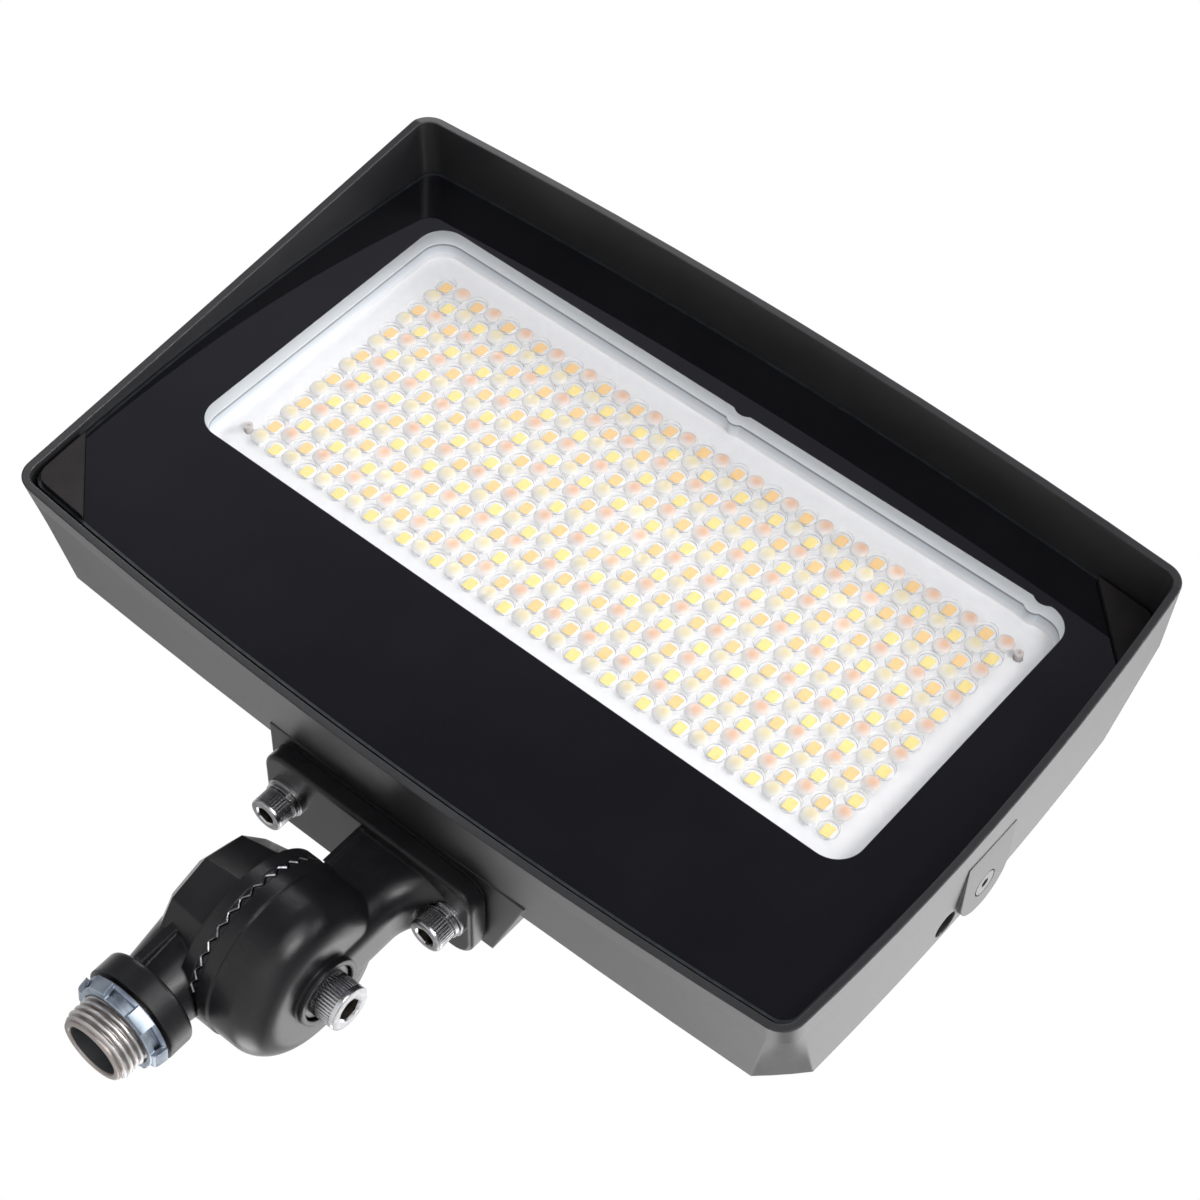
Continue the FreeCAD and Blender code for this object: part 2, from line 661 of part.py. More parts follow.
def reflector_tray():
    top = -GLASS_THICKNESS - FRIT_THICKNESS - TRAY_TOP_GAP
    block = centred_box(TRAY_WIDTH, TRAY_HEIGHT, BOARD_TOP, top)
    foot = tray_wire(TRAY_FOOT_INSET, BOARD_TOP)
    mouth = tray_wire(TRAY_LEDGE, top)
    opening = Part.makeLoft([foot, mouth], True, True)
    return block.cut(opening.cut(tray_posts(TRAY_POST_RADIUS, BOARD_TOP, top)))


def lens_sheet():
    outline = tray_wire(TRAY_FOOT_INSET + SLIP, BOARD_TOP)
    sheet = Part.Face(outline).extrude(Z_AXIS * (LENS_TOP - BOARD_TOP))
    room_width = LENS_WIDTH - 2 * LENS_EDGE_WALL
    room_height = LENS_HEIGHT - 2 * LENS_EDGE_WALL
    room = centred_box(room_width, room_height, BOARD_TOP, LENS_TOP - LENS_THICKNESS)
    depth = LENS_TOP - BOARD_TOP
    holes = [clear_hole(M2, depth, Vector(x, y, BOARD_TOP), Z_AXIS) for x, y in lens_screw_points()]
    notches = tray_posts(TRAY_POST_RADIUS + SLIP, BOARD_TOP, LENS_TOP)
    return sheet.cut([room] + holes + notches)


def lens_screws():
    length = LENS_TOP - FLOOR_TOP + FLOOR_THICKNESS / 2
    screws = [screw(M2, length, Vector(x, y, LENS_TOP), Z_AXIS) for x, y in lens_screw_points()]
    return Part.makeCompound(screws)


# Driver box
def driver_screw_points():
    x = DRIVER_LENGTH / 2 + DRIVER_EAR / 2
    return [(-x, -BOX_BELOW_WINDOW), (x, -BOX_BELOW_WINDOW)]


def led_driver():
    middle = (0, -BOX_BELOW_WINDOW)
    case = centred_box(DRIVER_LENGTH, DRIVER_WIDTH, FLOOR_BOTTOM - DRIVER_HEIGHT, FLOOR_BOTTOM, middle)
    low = FLOOR_BOTTOM - DRIVER_EAR_THICKNESS
    ears = centred_box(DRIVER_LENGTH + 2 * DRIVER_EAR, 2 * DRIVER_EAR, low, FLOOR_BOTTOM, middle)
    depth = DRIVER_EAR_THICKNESS
    holes = [clear_hole(M4, depth, Vector(x, y, low), Z_AXIS) for x, y in driver_screw_points()]
    return case.fuse(ears).cut(holes).removeSplitter()


def driver_screws():
    low = FLOOR_BOTTOM - DRIVER_EAR_THICKNESS
    back = Z_AXIS * -1
    screws = [screw(M4, DRIVER_SCREW_LENGTH, Vector(x, y, low), back) for x, y in driver_screw_points()]
    return Part.makeCompound(screws)


def board_leads():
    """Two leads from the side of the driver, up through the floor to the underside of the board."""
    turn = FLOOR_BOTTOM - DRIVER_HEIGHT / 2
    leads = []
    for x, y in lead_points():
        rise = Part.makeCylinder(LEAD_RADIUS, FLOOR_TOP - turn, Vector(x, y, turn), Z_AXIS)
        run = Part.makeCylinder(LEAD_RADIUS, LEAD_HOLE_RADIUS + SLIP, Vector(x, y, turn), Y_AXIS * -1)
        elbow = Part.makeSphere(LEAD_RADIUS, Vector(x, y, turn))
        leads.append(rise.fuse([run, elbow]).removeSplitter())
    return Part.makeCompound(leads)


def cover_screw_holes(low, high):
    return [clear_hole(M4, high - low, Vector(x, y, low), Z_AXIS) for x, y in box_boss_points()]


def rear_cover():
    low = COVER_LEVEL - COVER_THICKNESS
    plate = box_block(0, low, COVER_LEVEL)
    vent_hole = Part.makeCylinder(VENT_RADIUS + THREAD_FIT, COVER_THICKNESS, vent_base(low), Z_AXIS)
    return plate.cut(cover_screw_holes(low, COVER_LEVEL) + [vent_hole])


def rear_cover_gasket():
    plate = box_block(0, COVER_LEVEL, -BOX_DEPTH)
    width = BOX_WIDTH - 2 * COVER_GASKET_WIDTH
    height = BOX_HEIGHT - 2 * COVER_GASKET_WIDTH
    opening = centred_box(width, height, COVER_LEVEL, -BOX_DEPTH, (0, -BOX_BELOW_WINDOW))
    eyes = [Part.makeCylinder(BOX_BOSS_RADIUS, COVER_GASKET_THICKNESS, Vector(x, y, COVER_LEVEL), Z_AXIS)
            for x, y in box_boss_points()]
    return plate.cut(opening.cut(eyes)).cut(cover_screw_holes(COVER_LEVEL, -BOX_DEPTH)).removeSplitter()


def rear_cover_screws():
    low = COVER_LEVEL - COVER_THICKNESS
    back = Z_AXIS * -1
    screws = [screw(M4, COVER_SCREW_LENGTH, Vector(x, y, low), back) for x, y in box_boss_points()]
    return Part.makeCompound(screws)


def vent_base(level):
    return Vector(BOX_WIDTH / 4, -BOX_BELOW_WINDOW, level)


def breather_vent():
    low = COVER_LEVEL - COVER_THICKNESS
    cap = Part.makeCylinder(VENT_CAP_RADIUS, VENT_CAP_HEIGHT, vent_base(low - VENT_CAP_HEIGHT), Z_AXIS)
    stem = Part.makeCylinder(VENT_RADIUS, 2 * COVER_THICKNESS, vent_base(low), Z_AXIS)
    return cap.fuse(stem)


def side_screws():
    length = SIDE_SCREW_LENGTH - HOLE_FIT
    screws = [screw(M4, length, side_screw_seat(side), X_AXIS * side) for side in (-1, 1)]
    return Part.makeCompound(screws)


# Bracket, drawn in the frame
def wire_centre_x():
    return JOINT_FACE_X + JOINT_GAP / 2 + ARM_WIDTH / 2


def rounded_rim(shape, level, radius):
    """Round the outline edges that lie at a level."""
    edges = []
    for edge in shape.Edges:
        box = edge.BoundBox
        if abs(box.ZMin - level) < SNUG and abs(box.ZMax - level) < SNUG:
            edges.append(edge)
    return shape.makeFillet(radius, edges)


def axis_point(x):
    return Vector(x, 0, AXIS_HEIGHT)


def serration_room(side):
    """Ring at the drum's edge that leaves room for the serrations; side 1 is the bracket's half."""
    inner = DRUM_RADIUS - SERRATION_WIDTH
    face = axis_point(JOINT_FACE_X + side * JOINT_GAP / 2)
    return ring(DRUM_RADIUS + SLIP, inner, SERRATION_SETBACK, face, X_AXIS * side)


def plate_screw_points(level):
    return [Vector(HEAD_OFFSET_X + side * PLATE_SCREW_X, 0, level) for side in (-1, 1)]


def plate_block(low, high, inset):
    width = PLATE_WIDTH - 2 * inset
    depth = PLATE_DEPTH - 2 * inset
    return rounded_block(width, depth, PLATE_CORNER_RADIUS - inset, low, high, (HEAD_OFFSET_X, 0))


def plate_holes(low, high):
    """Holes for the two screws and the wires through the plate or its gasket."""
    holes = [clear_hole(M6, high - low, point, Z_AXIS) for point in plate_screw_points(low)]
    wire_base = Vector(wire_centre_x(), 0, low)
    return holes + [Part.makeCylinder(WIRE_BORE_RADIUS, high - low, wire_base, Z_AXIS)]


def cup():
    """Domed upper half of the knuckle, turned about the tilt axis."""
    face = JOINT_FACE_X + JOINT_GAP / 2
    end = face + CUP_DEPTH
    straight = end - CUP_ROUND
    radius = DRUM_RADIUS - CUP_STEP
    bore = M8.radius + THREAD_FIT
    seat_radius = CUP_RING_RADIUS - CUP_RING_WALL
    ring_end = end + CUP_RING_HEIGHT

    def at(x, distance):
        return Vector(x, 0, AXIS_HEIGHT + distance)

    diagonal = CUP_ROUND * math.sqrt(0.5)
    middle = at(straight + diagonal, radius - CUP_ROUND + diagonal)
    round_edge = Part.Arc(at(straight, radius), middle, at(end, radius - CUP_ROUND)).toShape()
    inner = [at(end, radius - CUP_ROUND), at(end, CUP_RING_RADIUS), at(ring_end, CUP_RING_RADIUS),
             at(ring_end, seat_radius), at(end, seat_radius), at(end, bore), at(face, bore)]
    outer = [at(face, bore), at(face, DRUM_RADIUS), at(face + CUP_BAND, DRUM_RADIUS),
             at(face + CUP_BAND, radius), at(straight, radius)]
    wire = Part.Wire(Part.makePolygon(outer).Edges + [round_edge] + Part.makePolygon(inner).Edges)
    return Part.Face(wire).revolve(axis_point(0), X_AXIS, 360)


def arm():
    """Post from the cup to the plate, with a hollow curve into the plate on its right side."""
    left = JOINT_FACE_X + JOINT_GAP / 2
    right = left + ARM_WIDTH
    half = ARM_HALF_DEPTH

    def at(x, z):
        return Vector(x, -half, z)

    curve_low = PLATE_Z - ARM_FILLET
    bend = ARM_FILLET * (1 - math.sqrt(0.5))
    curve_end = at(right + ARM_FILLET, PLATE_Z)
    curve = Part.Arc(at(right, curve_low), at(right + bend, PLATE_Z - bend), curve_end).toShape()
    lower = [at(left, AXIS_HEIGHT), at(right, AXIS_HEIGHT), at(right, curve_low)]
    sides = Part.makePolygon([curve_end, at(left, PLATE_Z)] + lower)
    post = Part.Face(Part.Wire([curve] + sides.Edges)).extrude(Y_AXIS * 2 * half)
    post = post.makeFillet(ARM_EDGE_ROUND, [edge for edge in post.Edges if on_arm_right(edge, right)])
    rib_depth = 2 * (half + ARM_RIB_HEIGHT)
    rib_low = AXIS_HEIGHT + DRUM_RADIUS / 2
    rib = Part.makeBox(ARM_RIB_WIDTH, rib_depth, PLATE_Z - rib_low, Vector(left, -rib_depth / 2, rib_low))
    return post.fuse(rib)


def on_arm_right(edge, right):
    """True for the edges that run up the arm's right side, along its front and back faces."""
    box = edge.BoundBox
    return box.YLength < SNUG and box.ZLength > SNUG and box.XMin > right - SNUG


def bracket():
    plate_top = PLATE_Z + PLATE_THICKNESS
    plate = rounded_rim(plate_block(PLATE_Z, plate_top, 0), PLATE_Z, PLATE_EDGE_ROUND)
    body = plate.fuse([cup(), arm()])
    bolt_bore = tapped_hole(M8, 2 * CUP_DEPTH, axis_point(JOINT_FACE_X), X_AXIS)
    seat = JOINT_FACE_X + JOINT_GAP / 2 + CUP_DEPTH
    head_room = Part.makeCylinder(CUP_RING_RADIUS - CUP_RING_WALL, CUP_DEPTH, axis_point(seat), X_AXIS)
    spot_radius = M6_WASHER_RADIUS + HOLE_FIT
    spot_faces = [Part.makeCylinder(spot_radius, PLATE_DISTANCE / 2, point, Z_AXIS * -1)
                  for point in plate_screw_points(PLATE_Z)]
    holes = plate_holes(AXIS_HEIGHT + DRUM_RADIUS, plate_top)
    cuts = holes + spot_faces + [bolt_bore, head_room, serration_room(1)]
    return body.cut(cuts).removeSplitter()


def mount_gasket():
    low = PLATE_Z + PLATE_THICKNESS
    return plate_block(low, PAD_Z, MOUNT_GASKET_INSET).cut(plate_holes(low, PAD_Z))


def plate_rings(radius, thickness, level):
    inner = M6.radius + HOLE_FIT
    rings = [ring(radius, inner, thickness, point, Z_AXIS * -1) for point in plate_screw_points(level)]
    return Part.makeCompound(rings)


def flat_washers():
    return plate_rings(M6_WASHER_RADIUS, M6_WASHER_THICKNESS, PLATE_Z)


def spring_washers():
    return plate_rings(M6_SPRING_RADIUS, M6_SPRING_THICKNESS, PLATE_Z - M6_WASHER_THICKNESS)


def bracket_screws():
    seat = PLATE_Z - M6_WASHER_THICKNESS - M6_SPRING_THICKNESS
    screws = [screw(M6, PLATE_SCREW_LENGTH, point, Z_AXIS * -1) for point in plate_screw_points(seat)]
    return Part.makeCompound(screws)


# Lower half of the knuckle
def base_polygon(x, radius):
    points = []
    for k in range(BASE_SIDES + 1):
        angle = 2 * math.pi * k / BASE_SIDES
        points.append(Vector(x, -radius * math.cos(angle), AXIS_HEIGHT + radius * math.sin(angle)))
    return Part.makePolygon(points)


def base_drum():
    face = JOINT_FACE_X - JOINT_GAP / 2
    band = Part.makeCylinder(DRUM_RADIUS, BASE_BAND, axis_point(face), X_AXIS * -1)
    sections = [
        base_polygon(face - BASE_BAND, DRUM_RADIUS - BASE_STEP),
        base_polygon(face - BASE_SHOULDER_DEPTH, BASE_SHOULDER_RADIUS),
        base_polygon(face - BASE_DEPTH, BASE_END_RADIUS),
    ]
    return band.fuse(Part.makeLoft(sections, True, True))


def neck():
    """Tapered post with a rib, cut away where the upper half of the knuckle turns."""
    low = Vector(0, 0, COLLAR_HEIGHT)
    post = Part.makeCone(NECK_LOW_RADIUS, NECK_HIGH_RADIUS, NECK_HEIGHT, low, Z_AXIS)
    face = axis_point(JOINT_FACE_X - JOINT_GAP / 2)
    cup_room = Part.makeCylinder(DRUM_RADIUS + SLIP, CUP_DEPTH, face, X_AXIS)
    corner = Vector(NECK_RIB_X - NECK_RIB_WIDTH / 2, -NECK_RIB_REACH, COLLAR_HEIGHT)
    rib = Part.makeBox(NECK_RIB_WIDTH, 2 * NECK_RIB_REACH, NECK_HEIGHT, corner)
    return post.cut(cup_room).fuse(rib)


def knuckle_base():
    collar = rounded_rim(Part.makeCylinder(COLLAR_RADIUS, COLLAR_HEIGHT), COLLAR_HEIGHT, COLLAR_ROUND)
    body = base_drum().fuse([neck(), collar])
    wire_top = AXIS_HEIGHT - M8.radius - BOX_WALL
    cuts = [
        Part.makeCylinder(NIPPLE_SOCKET_RADIUS + SNUG, NIPPLE_SOCKET_DEPTH),
        Part.makeCylinder(WIRE_BORE_RADIUS, wire_top),
        clear_hole(M8, 2 * BASE_DEPTH, axis_point(JOINT_FACE_X), X_AXIS * -1),
        hexagon(M8_NUT_ACROSS + 2 * HOLE_FIT, BASE_DEPTH, axis_point(nut_seat()), X_AXIS * -1),
        serration_room(-1),
    ]
    return body.cut(cuts).removeSplitter()


def nut_seat():
    return JOINT_FACE_X - JOINT_GAP / 2 - BASE_DEPTH + M8_NUT_HEIGHT - NUT_PROUD


def bolt_seat():
    return JOINT_FACE_X + JOINT_GAP / 2 + CUP_DEPTH + JOINT_GAP


def bolt_washer():
    inner = M8.radius + HOLE_FIT
    return ring(M8_WASHER_RADIUS, inner, M8_WASHER_THICKNESS, axis_point(bolt_seat()), X_AXIS)


def knuckle_bolt():
    seat = bolt_seat() + M8_WASHER_THICKNESS
    length = seat - nut_seat() + M8_NUT_HEIGHT + BOLT_PROUD
    return screw(M8, length, axis_point(seat), X_AXIS)


def knuckle_nut():
    nut = hexagon(M8_NUT_ACROSS, M8_NUT_HEIGHT, axis_point(nut_seat()), X_AXIS * -1)
    return nut.cut(tapped_hole(M8, M8_NUT_HEIGHT, axis_point(nut_seat()), X_AXIS * -1))


# Nipple and locknut
def nipple():
    straight = THREAD_LENGTH - THREAD_LEAD_IN
    thread = Part.makeCylinder(THREAD_RADIUS, straight, Vector(0, 0, -straight), Z_AXIS)
    lead_in = Part.makeCone(THREAD_RADIUS - THREAD_LEAD_IN_STEP, THREAD_RADIUS, THREAD_LEAD_IN,
                            Vector(0, 0, -THREAD_LENGTH), Z_AXIS)
    stub = Part.makeCylinder(NIPPLE_SOCKET_RADIUS, NIPPLE_SOCKET_DEPTH)
    bore = Part.makeCylinder(NIPPLE_BORE_RADIUS, THREAD_LENGTH + NIPPLE_SOCKET_DEPTH,
                             Vector(0, 0, -THREAD_LENGTH), Z_AXIS)
    groove_base = Vector(0, 0, -LOCKNUT_FROM_SHOULDER - LOCKNUT_THICKNESS)
    groove_radius = THREAD_RADIUS - THREAD_GROOVE_DEPTH
    groove = ring(THREAD_RADIUS, groove_radius, THREAD_GROOVE_WIDTH, groove_base, Z_AXIS * -1)
    return thread.fuse([lead_in, stub]).cut([bore, groove]).removeSplitter()


def locknut():
    top = -LOCKNUT_FROM_SHOULDER
    flange = Part.makeCylinder(LOCKNUT_FLANGE_RADIUS, LOCKNUT_FLANGE, Vector(0, 0, top), Z_AXIS * -1)
    body = Part.makeCylinder(LOCKNUT_RADIUS, LOCKNUT_THICKNESS, Vector(0, 0, top), Z_AXIS * -1)
    tabs = []
    for k in range(LOCKNUT_TABS):
        tab = Part.makeBox(LOCKNUT_TAB_RADIUS, LOCKNUT_TAB_WIDTH, LOCKNUT_TAB_FRONT - LOCKNUT_TAB_BACK,
                           Vector(0, -LOCKNUT_TAB_WIDTH / 2, top - LOCKNUT_TAB_FRONT))
        tab.rotate(Vector(0, 0, 0), Z_AXIS, LOCKNUT_TURN + 360.0 * k / LOCKNUT_TABS)
        tabs.append(tab)
    limit = Part.makeCylinder(LOCKNUT_TAB_RADIUS, LOCKNUT_THICKNESS, Vector(0, 0, top), Z_AXIS * -1)
    bore = Part.makeCylinder(THREAD_RADIUS + THREAD_FIT, LOCKNUT_THICKNESS, Vector(0, 0, top), Z_AXIS * -1)
    return flange.fuse([body] + tabs).common(limit).cut(bore).removeSplitter()


HEAD_PIECES = {
    "housing": housing,
    "front_glass": front_glass,
    "glass_frit": glass_frit,
    "glass_gasket": glass_gasket,
    "glass_sealant": glass_sealant,
    "corner_clamp_left": lambda: corner_clamp(-1),
    "corner_clamp_right": lambda: corner_clamp(1),
    "reflector_tray": reflector_tray,
    "led_board": led_board,
    "leds_cool": lambda: led_rows(0),
    "leds_warm": lambda: led_rows(1),
    "lens_sheet": lens_sheet,
    "lens_screws": lens_screws,
    "led_driver": led_driver,
    "driver_screws": driver_screws,
    "board_leads": board_leads,
    "rear_cover": rear_cover,
    "rear_cover_gasket": rear_cover_gasket,
    "rear_cover_screws": rear_cover_screws,
    "breather_vent": breather_vent,
    "side_screws": side_screws,
}

MOUNT_PIECES = {
    "mount_gasket": mount_gasket,
    "bracket": bracket,
    "flat_washers": flat_washers,
    "spring_washers": spring_washers,
    "bracket_screws": bracket_screws,
    "knuckle_base": knuckle_base,
    "bolt_washer": bolt_washer,
    "knuckle_bolt": knuckle_bolt,
    "knuckle_nut": knuckle_nut,
    "nipple": nipple,
    "locknut": locknut,
}

os.makedirs("parts", exist_ok=True)
for name, make in HEAD_PIECES.items():
    save(name, in_frame(make()))
for name, make in MOUNT_PIECES.items():
    save(name, make())
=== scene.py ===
import json
import math

import bmesh
import bpy
from mathutils import Matrix, Vector


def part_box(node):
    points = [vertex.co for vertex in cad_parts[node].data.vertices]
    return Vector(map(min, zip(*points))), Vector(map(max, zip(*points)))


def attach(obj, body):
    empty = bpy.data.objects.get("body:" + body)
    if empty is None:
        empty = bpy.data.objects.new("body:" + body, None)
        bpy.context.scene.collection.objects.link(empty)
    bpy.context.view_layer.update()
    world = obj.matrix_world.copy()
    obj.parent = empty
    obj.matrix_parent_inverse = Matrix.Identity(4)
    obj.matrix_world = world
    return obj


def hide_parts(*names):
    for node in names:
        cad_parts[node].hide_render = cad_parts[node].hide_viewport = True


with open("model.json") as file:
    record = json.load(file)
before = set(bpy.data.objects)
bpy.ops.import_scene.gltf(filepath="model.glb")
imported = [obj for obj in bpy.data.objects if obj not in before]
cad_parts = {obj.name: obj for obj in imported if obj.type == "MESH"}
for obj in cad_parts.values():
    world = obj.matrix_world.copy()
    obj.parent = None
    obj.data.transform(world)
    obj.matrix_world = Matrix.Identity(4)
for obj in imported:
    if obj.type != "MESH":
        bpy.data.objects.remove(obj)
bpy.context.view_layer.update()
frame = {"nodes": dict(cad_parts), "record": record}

# LED flood light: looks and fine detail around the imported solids. Lengths are metres.
MM = 0.001
SAME_POINT = 0.001 * MM
SLOTS = {row["node"]: row["material_slot"] for row in frame["record"]["subparts"]}

# Nodes with a finish of their own instead of their slot's material
OWN_FINISHES = {"bolt_washer": "dark_steel", "side_screws": "dark_steel", "lens_screws": "pin_grey",
                "reflector_tray": "tray_white"}

# Camera at the photograph's viewpoint
CAMERA_PLACE = Vector((0.3076, -0.6280, -0.2096))
CAMERA_RIGHT = Vector((0.7656, -0.0243, 0.6429))
CAMERA_BACK = Vector((0.3812, -0.7878, -0.4838))
CAMERA_LENS = 86.445
CAMERA_SENSOR = 36.0

# Floor
FLOOR_HEIGHT = -0.9
FLOOR_SIZE = 12.0
FLOOR_COLOUR = (0.72, 0.72, 0.72)
FLOOR_ROUGHNESS = 0.8

# World: the stops colour its reflections, from the front of the flood light to its back
WHITE = (1, 1, 1)
WORLD_LIGHT = 0.62
WORLD_FRONT = -1.0
WORLD_BACK = 0.75
WORLD_STOPS = ((0.00, (0.11, 0.11, 0.13)), (0.10, (0.17, 0.17, 0.205)), (0.13, (0.29, 0.29, 0.34)),
               (0.16, (0.43, 0.43, 0.49)), (0.34, (0.28, 0.28, 0.30)), (0.60, (0.30, 0.30, 0.32)),
               (0.80, (0.80, 0.80, 0.80)), (0.89, WHITE))

# Softboxes: place, diameter and power in watts
LAMP_AIM = Vector((0.01, -0.03, 0.13))
LAMPS = {
    "left_softbox": ((-1.5, -1.25, 1.6), 0.8, 16.0),
    "front_softbox": ((0.9, -1.7, 0.2), 1.2, 13.0),
    "high_softbox": ((1.3, -0.6, 1.35), 0.8, 46.0),
    "side_softbox": ((0.9, 1.5, 0.9), 1.4, 9.0),
    "low_softbox": ((0.1, 1.5, -0.6), 0.8, 6.0),
    "right_softbox": ((1.45, -1.4, 0.05), 0.6, 17.0),
}

# Thread of the nipple; its crest and flanks are shares of the pitch
THREAD_PITCH = 1.814 * MM
THREAD_DEPTH = 1.1 * MM
THREAD_HALF_CREST = 0.14
THREAD_FLANK = 0.24
THREAD_START = 0.5 * MM
THREAD_GROWTH = 1.0 * MM
THREAD_TOP = -0.2 * MM
THREAD_RUN_OUT = 0.1 * MM
THREAD_ROWS_PER_TURN = 12

# Nipple
NIPPLE_BORE = 7.65 * MM
NIPPLE_BORE_CHAMFER = 0.4 * MM
NIPPLE_BORE_CHAMFER_DEPTH = 0.5 * MM
NIPPLE_STUB = 10.0 * MM
NIPPLE_TIP = 9.35 * MM
NIPPLE_TIP_EDGE = 0.3 * MM
NIPPLE_LEAD = 2.2 * MM
NIPPLE_COLUMNS = 96
NIPPLE_CREASE = 50

# Locknut
LOCKNUT_COLUMNS = 72
LOCKNUT_EDGE = 0.25 * MM
LOCKNUT_BORE = 10.75 * MM
LOCKNUT_RING = 12.4 * MM
LOCKNUT_RING_DEPTH = 1.6 * MM
HUB_INSET = 0.5 * MM
FLANGE_RADIUS = 13.3 * MM
FLANGE_THICKNESS = 1.2 * MM

# Bent lugs of the locknut
LUG_COUNT = 6
LUG_FIRST_ANGLE = math.radians(7)
LUG_WIDTH = 6.0 * MM
LUG_THICKNESS = 1.6 * MM
LUG_ROOT = 0.6 * MM
LUG_TIP = 14.1 * MM
LUG_SPLAY = 0.4 * MM
LUG_BEND = 1.1 * MM
LUG_BEND_CORNER = 0.35 * MM
LUG_BEND_RUN = 0.1 * MM
LUG_FRONT_GAP = 0.15 * MM
LUG_BACK_GAP = 0.5 * MM

# Knuckle teeth
JOINT_FACE = 9.8 * MM
JOINT_HEIGHT = 36.3 * MM
TOOTH_COUNT = 36
TOOTH_HEIGHT = 0.72 * MM
TOOTH_GAP = 0.18 * MM
TOOTH_ROOT = 0.95 * MM
TOOTH_BEVEL = 0.3 * MM
TOOTH_INNER = 22.0 * MM
TOOTH_OUTER = 24.98 * MM
TOOTH_CREASE = 20

# Socket head screws: radius and height of the head, socket across its flats, radius of the shank
M6 = {"head": 5.0 * MM, "height": 6.0 * MM, "across": 5.0 * MM, "shank": 3.0 * MM, "knurls": 36}
M8 = {"head": 6.5 * MM, "height": 8.0 * MM, "across": 6.0 * MM, "shank": 4.0 * MM, "knurls": 44}
KNURL_DEPTH = 0.4 * MM
KNURL_STEPS = 4
SCREW_EDGE = 0.35 * MM
SOCKET_DEPTH_SHARE = 0.55
SOCKET_CONE_SHARE = 0.12
SOCKET_MOUTH_SHARE = 1.24
HEAD_RIM_SHARE = 0.22
SHANK_POINT_SHARE = 0.3

# Split lock washers; lean and slack are shares of the thickness
SPLIT_ANGLE = math.radians(14)
SPLIT_TURN = math.radians(-60)
SPLIT_STEPS = 48
SPLIT_LEAN = 0.15
SPLIT_SLACK = 0.08
SPLIT_BORE_GAP = 0.1 * MM

# Reflector tray's colour from its mouth to its foot, with painted shade: grey and blue-grey near the mouth, a
# painted dark shade line at the mouth's edge, white at the foot
TRAY_SHADE_STOPS = ((0.00, (0.66, 0.69, 0.72)), (0.03, (0.64, 0.67, 0.70)), (0.05, (0.20, 0.21, 0.23)),
              (0.16, (0.22, 0.23, 0.25)), (0.20, (0.46, 0.50, 0.54)), (0.60, (0.59, 0.62, 0.66)),
              (1.00, (0.84, 0.84, 0.85)))

# LED field
LED_COLUMNS = 34
LED_ROWS = 14
LED_WIDTH = 2.8 * MM
LED_HEIGHT = 3.5 * MM
LED_CORNER = 0.3 * MM
PHOSPHOR_WIDTH = 2.95 * MM
PHOSPHOR_HEIGHT = 3.7 * MM
PHOSPHOR_RISE = 0.15 * MM
PHOSPHOR_SINK = 0.05 * MM
PHOSPHOR_CORNER = 0.5 * MM

# Lens sheet, with its domes and cups
LENS_THICKNESS = 0.8 * MM
LENS_CORNER = 6.5 * MM
DOME_RADIUS = 2.6 * MM
DOME_RISE = 1.1 * MM
DOME_STEPS = 8
DOME_COLUMNS = 20
# Painted image of the lamp on each dome, standing in for refraction: its shift to one side, its middle and
# its reach
DOME_PAINTED_IMAGE_SHIFT = Vector((0.4 * MM, 0.6 * MM))
DOME_IMAGE_CORE = 0.6 * MM
DOME_IMAGE_REACH = 3.0 * MM
CUP_RADIUS = 3.0 * MM
CUP_FOOT_RADIUS = 2.7 * MM
CUP_LINE = 0.2 * MM
CUP_COLUMNS = 24


# Node helpers; the owner of the nodes is a material or the world
def new_material(name):
    material = bpy.data.materials.new(name)
    material.use_nodes = True
    return material


def add(owner, kind, **values):
    """Add a shader node and set its named inputs; spaces in socket names are written as underscores."""
    node = owner.node_tree.nodes.new("ShaderNode" + kind)
    for name, value in values.items():
        node.inputs[name.replace("_", " ")].default_value = value
    return node


def link(owner, output, target):
    owner.node_tree.links.new(output, target)


def show(material, output):
    """Let a shader's output be what the material shows."""
    link(material, output, material.node_tree.nodes["Material Output"].inputs["Surface"])


def principled(material, colour, roughness, **values):
    shader = material.node_tree.nodes["Principled BSDF"]
    shader.inputs["Base Color"].default_value = (*colour, 1)
    shader.inputs["Roughness"].default_value = roughness
    for name, value in values.items():
        shader.inputs[name.replace("_", " ")].default_value = value
    return shader


def mixed(owner, first, second, **values):
    """Mix of two shaders; its factor is set here or linked by the caller."""
    mix = add(owner, "MixShader", **values)
    link(owner, first, mix.inputs[1])
    link(owner, second, mix.inputs[2])
    return mix


def noise(material, scale, detail, stretch=(1, 1, 1)):
    """Noise in the piece's own coordinates, in metres."""
    place = add(material, "TexCoord")
    mapping = add(material, "Mapping", Scale=stretch)
    texture = add(material, "TexNoise", Scale=scale, Detail=detail)
    link(material, place.outputs["Object"], mapping.inputs["Vector"])
    link(material, mapping.outputs["Vector"], texture.inputs["Vector"])
    return texture.outputs["Fac"]


def share_along_y(owner, coordinates, start, end):
    """Share of the way from start to end along Y, in the named coordinates."""
    place = add(owner, "TexCoord")
    split = add(owner, "SeparateXYZ")
    share = add(owner, "MapRange", From_Min=start, From_Max=end)
    link(owner, place.outputs[coordinates], split.inputs["Vector"])
    link(owner, split.outputs["Y"], share.inputs["Value"])
    return share.outputs["Result"]


def colour_ramp(owner, factor, stops):
    """Colour that runs through stops of place and colour."""
    ramp = add(owner, "ValToRGB")
    steps = ramp.color_ramp.elements
    steps.remove(steps[0])
    steps[0].position = stops[0][0]
    steps[0].color = (*stops[0][1], 1)
    for place, colour in stops[1:]:
        steps.new(place).color = (*colour, 1)
    link(owner, factor, ramp.inputs["Fac"])
    return ramp.outputs["Color"]


def scaled(material, factor, low, high):
    """Value that runs from low to high with a factor."""
    span = add(material, "MapRange", To_Min=low, To_Max=high)
    link(material, factor, span.inputs["Value"])
    return span.outputs["Result"]


